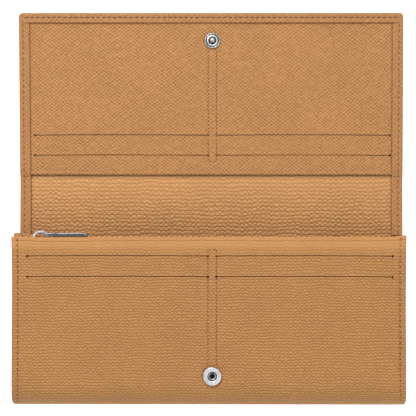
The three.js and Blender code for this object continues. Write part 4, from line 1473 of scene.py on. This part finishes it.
def build_side_seams():
    """Stitches down both sides of the front, from the mouth and part of the way round the bend."""
    places = []
    seam_length = FRONT_FLAT + FRONT_RADIUS * math.radians(66)
    for side in (-1, 1):
        share = side * (1 - SIDE_STITCH / FRONT_HALF)
        for index in range(round(seam_length / SIDE_PITCH)):
            s = 1.6 + index * SIDE_PITCH
            x, y, z, _ = (float(value) for value in front_surface(share, np.array(s), 0.3))
            angle = max(0.0, (s - FRONT_FLAT) / FRONT_RADIUS)
            along = (STITCH_SLANT, -math.cos(angle), -math.sin(angle))
            places.append(((x, y, z), along, (0, -math.sin(angle), math.cos(angle)), 0.62 * SIDE_PITCH))
    seam = stitch_row("side_seam_thread", places, 0.48, 0.10, "brown_thread")
    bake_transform(seam)


# ---- Stage, light and camera -----------------------------------------------------------------------

def soft_box(name, place, size_x, size_y, power):
    """A soft rectangular lamp that faces the middle of the wallet."""
    light = bpy.data.lights.new(name, "AREA")
    light.shape = "RECTANGLE"
    light.size, light.size_y = size_x, size_y
    light.energy = power
    lamp = new_object(name, light)
    lamp.location = place
    lamp.rotation_euler = (-Vector(place)).to_track_quat("-Z", "Y").to_euler()


def build_floor():
    """A pale paper floor just under the wallet, with a little light of its own."""
    half = 3.0
    corners = [(-half, -half, 0), (half, -half, 0), (half, half, 0), (-half, half, 0)]
    floor = bpy.data.meshes.new("floor")
    floor.from_pydata(corners, [], [(0, 1, 2, 3)])
    piece = new_object("floor", floor)
    piece.location = (0, 0, -0.0003)
    n = Nodes("floor_paper")
    grain = n.noise(n.place(), 60.0, 3.0)
    colour = n.mix(grain, (0.93, 0.93, 0.93), (0.96, 0.96, 0.96))
    n.shader.inputs["Emission Color"].default_value = (1, 1, 1, 1)
    n.shader.inputs["Emission Strength"].default_value = 0.55
    floor.materials.append(n.finish(colour, n.ranged(grain, 0, 1, 0.85, 0.95)))


def build_light():
    """A pale sky, brighter overhead, a key lamp beyond the flap and a fill at the near right."""
    scene = bpy.context.scene
    scene.view_settings.view_transform = "Standard"
    scene.world = bpy.data.worlds.new("studio")
    scene.world.use_nodes = True
    tree = scene.world.node_tree
    background = tree.nodes["Background"]
    coordinates = tree.nodes.new("ShaderNodeTexCoord")
    split = tree.nodes.new("ShaderNodeSeparateXYZ")
    ramp = tree.nodes.new("ShaderNodeValToRGB")
    tree.links.new(coordinates.outputs["Generated"], split.inputs[0])
    tree.links.new(split.outputs["Z"], ramp.inputs["Fac"])
    tree.links.new(ramp.outputs["Color"], background.inputs["Color"])
    stops = ((0.0, (0.80, 0.80, 0.80, 1)), (0.75, (1, 1, 1, 1)))
    for element, (position, colour) in zip(ramp.color_ramp.elements, stops):
        element.position = position
        element.color = colour
    background.inputs["Strength"].default_value = 0.80
    soft_box("key", (-0.25, 0.62, 0.85), 0.6, 0.4, 9.0)
    soft_box("fill", (0.5, -0.5, 0.9), 0.7, 0.7, 2.0)


def build_camera():
    """Almost straight above, as in the photograph: the place and tilt were fitted to the wallet's outline."""
    camera = bpy.data.cameras.new("camera")
    camera.lens = 112.2
    camera.sensor_width = 36.0
    camera.clip_start, camera.clip_end = 0.01, 10
    made = new_object("camera", camera)
    made.location = (0.0029, -0.0224, 0.6587)
    made.rotation_euler = (math.radians(1.93), math.radians(0.33), math.radians(0.04))
    bpy.context.scene.camera = made


def paint_hidden_nodes():
    """Finishes for the CAD nodes that stay as they are."""
    finishes = {
        "board": ["back_board", "flap_board"],
        "slip": [node for node in frame["nodes"] if "card_slip" in node],
        "zip_nickel": ["zip_slider", "zip_stop_left", "zip_stop_right"],
        "snap_nickel": ["stud_rivet", "socket_rivet"],
    }
    for material, nodes in finishes.items():
        for node in nodes:
            paint(frame["nodes"][node], material)
    bevel_node("zip_slider", 0.18)
    bevel_node("zip_stop_left", 0.15)
    bevel_node("zip_stop_right", 0.15)


build_floor()
build_light()
build_camera()
build_cover()
build_linings()
build_flap_panel()
build_front()
build_pockets()
build_gussets()
build_wall_seams()
build_bottom_ends()
build_stud()
build_socket()
build_socket_spring()
build_puller()
build_teeth()
build_hem_seams()
build_divider_seams()
build_side_seams()
paint_hidden_nodes()
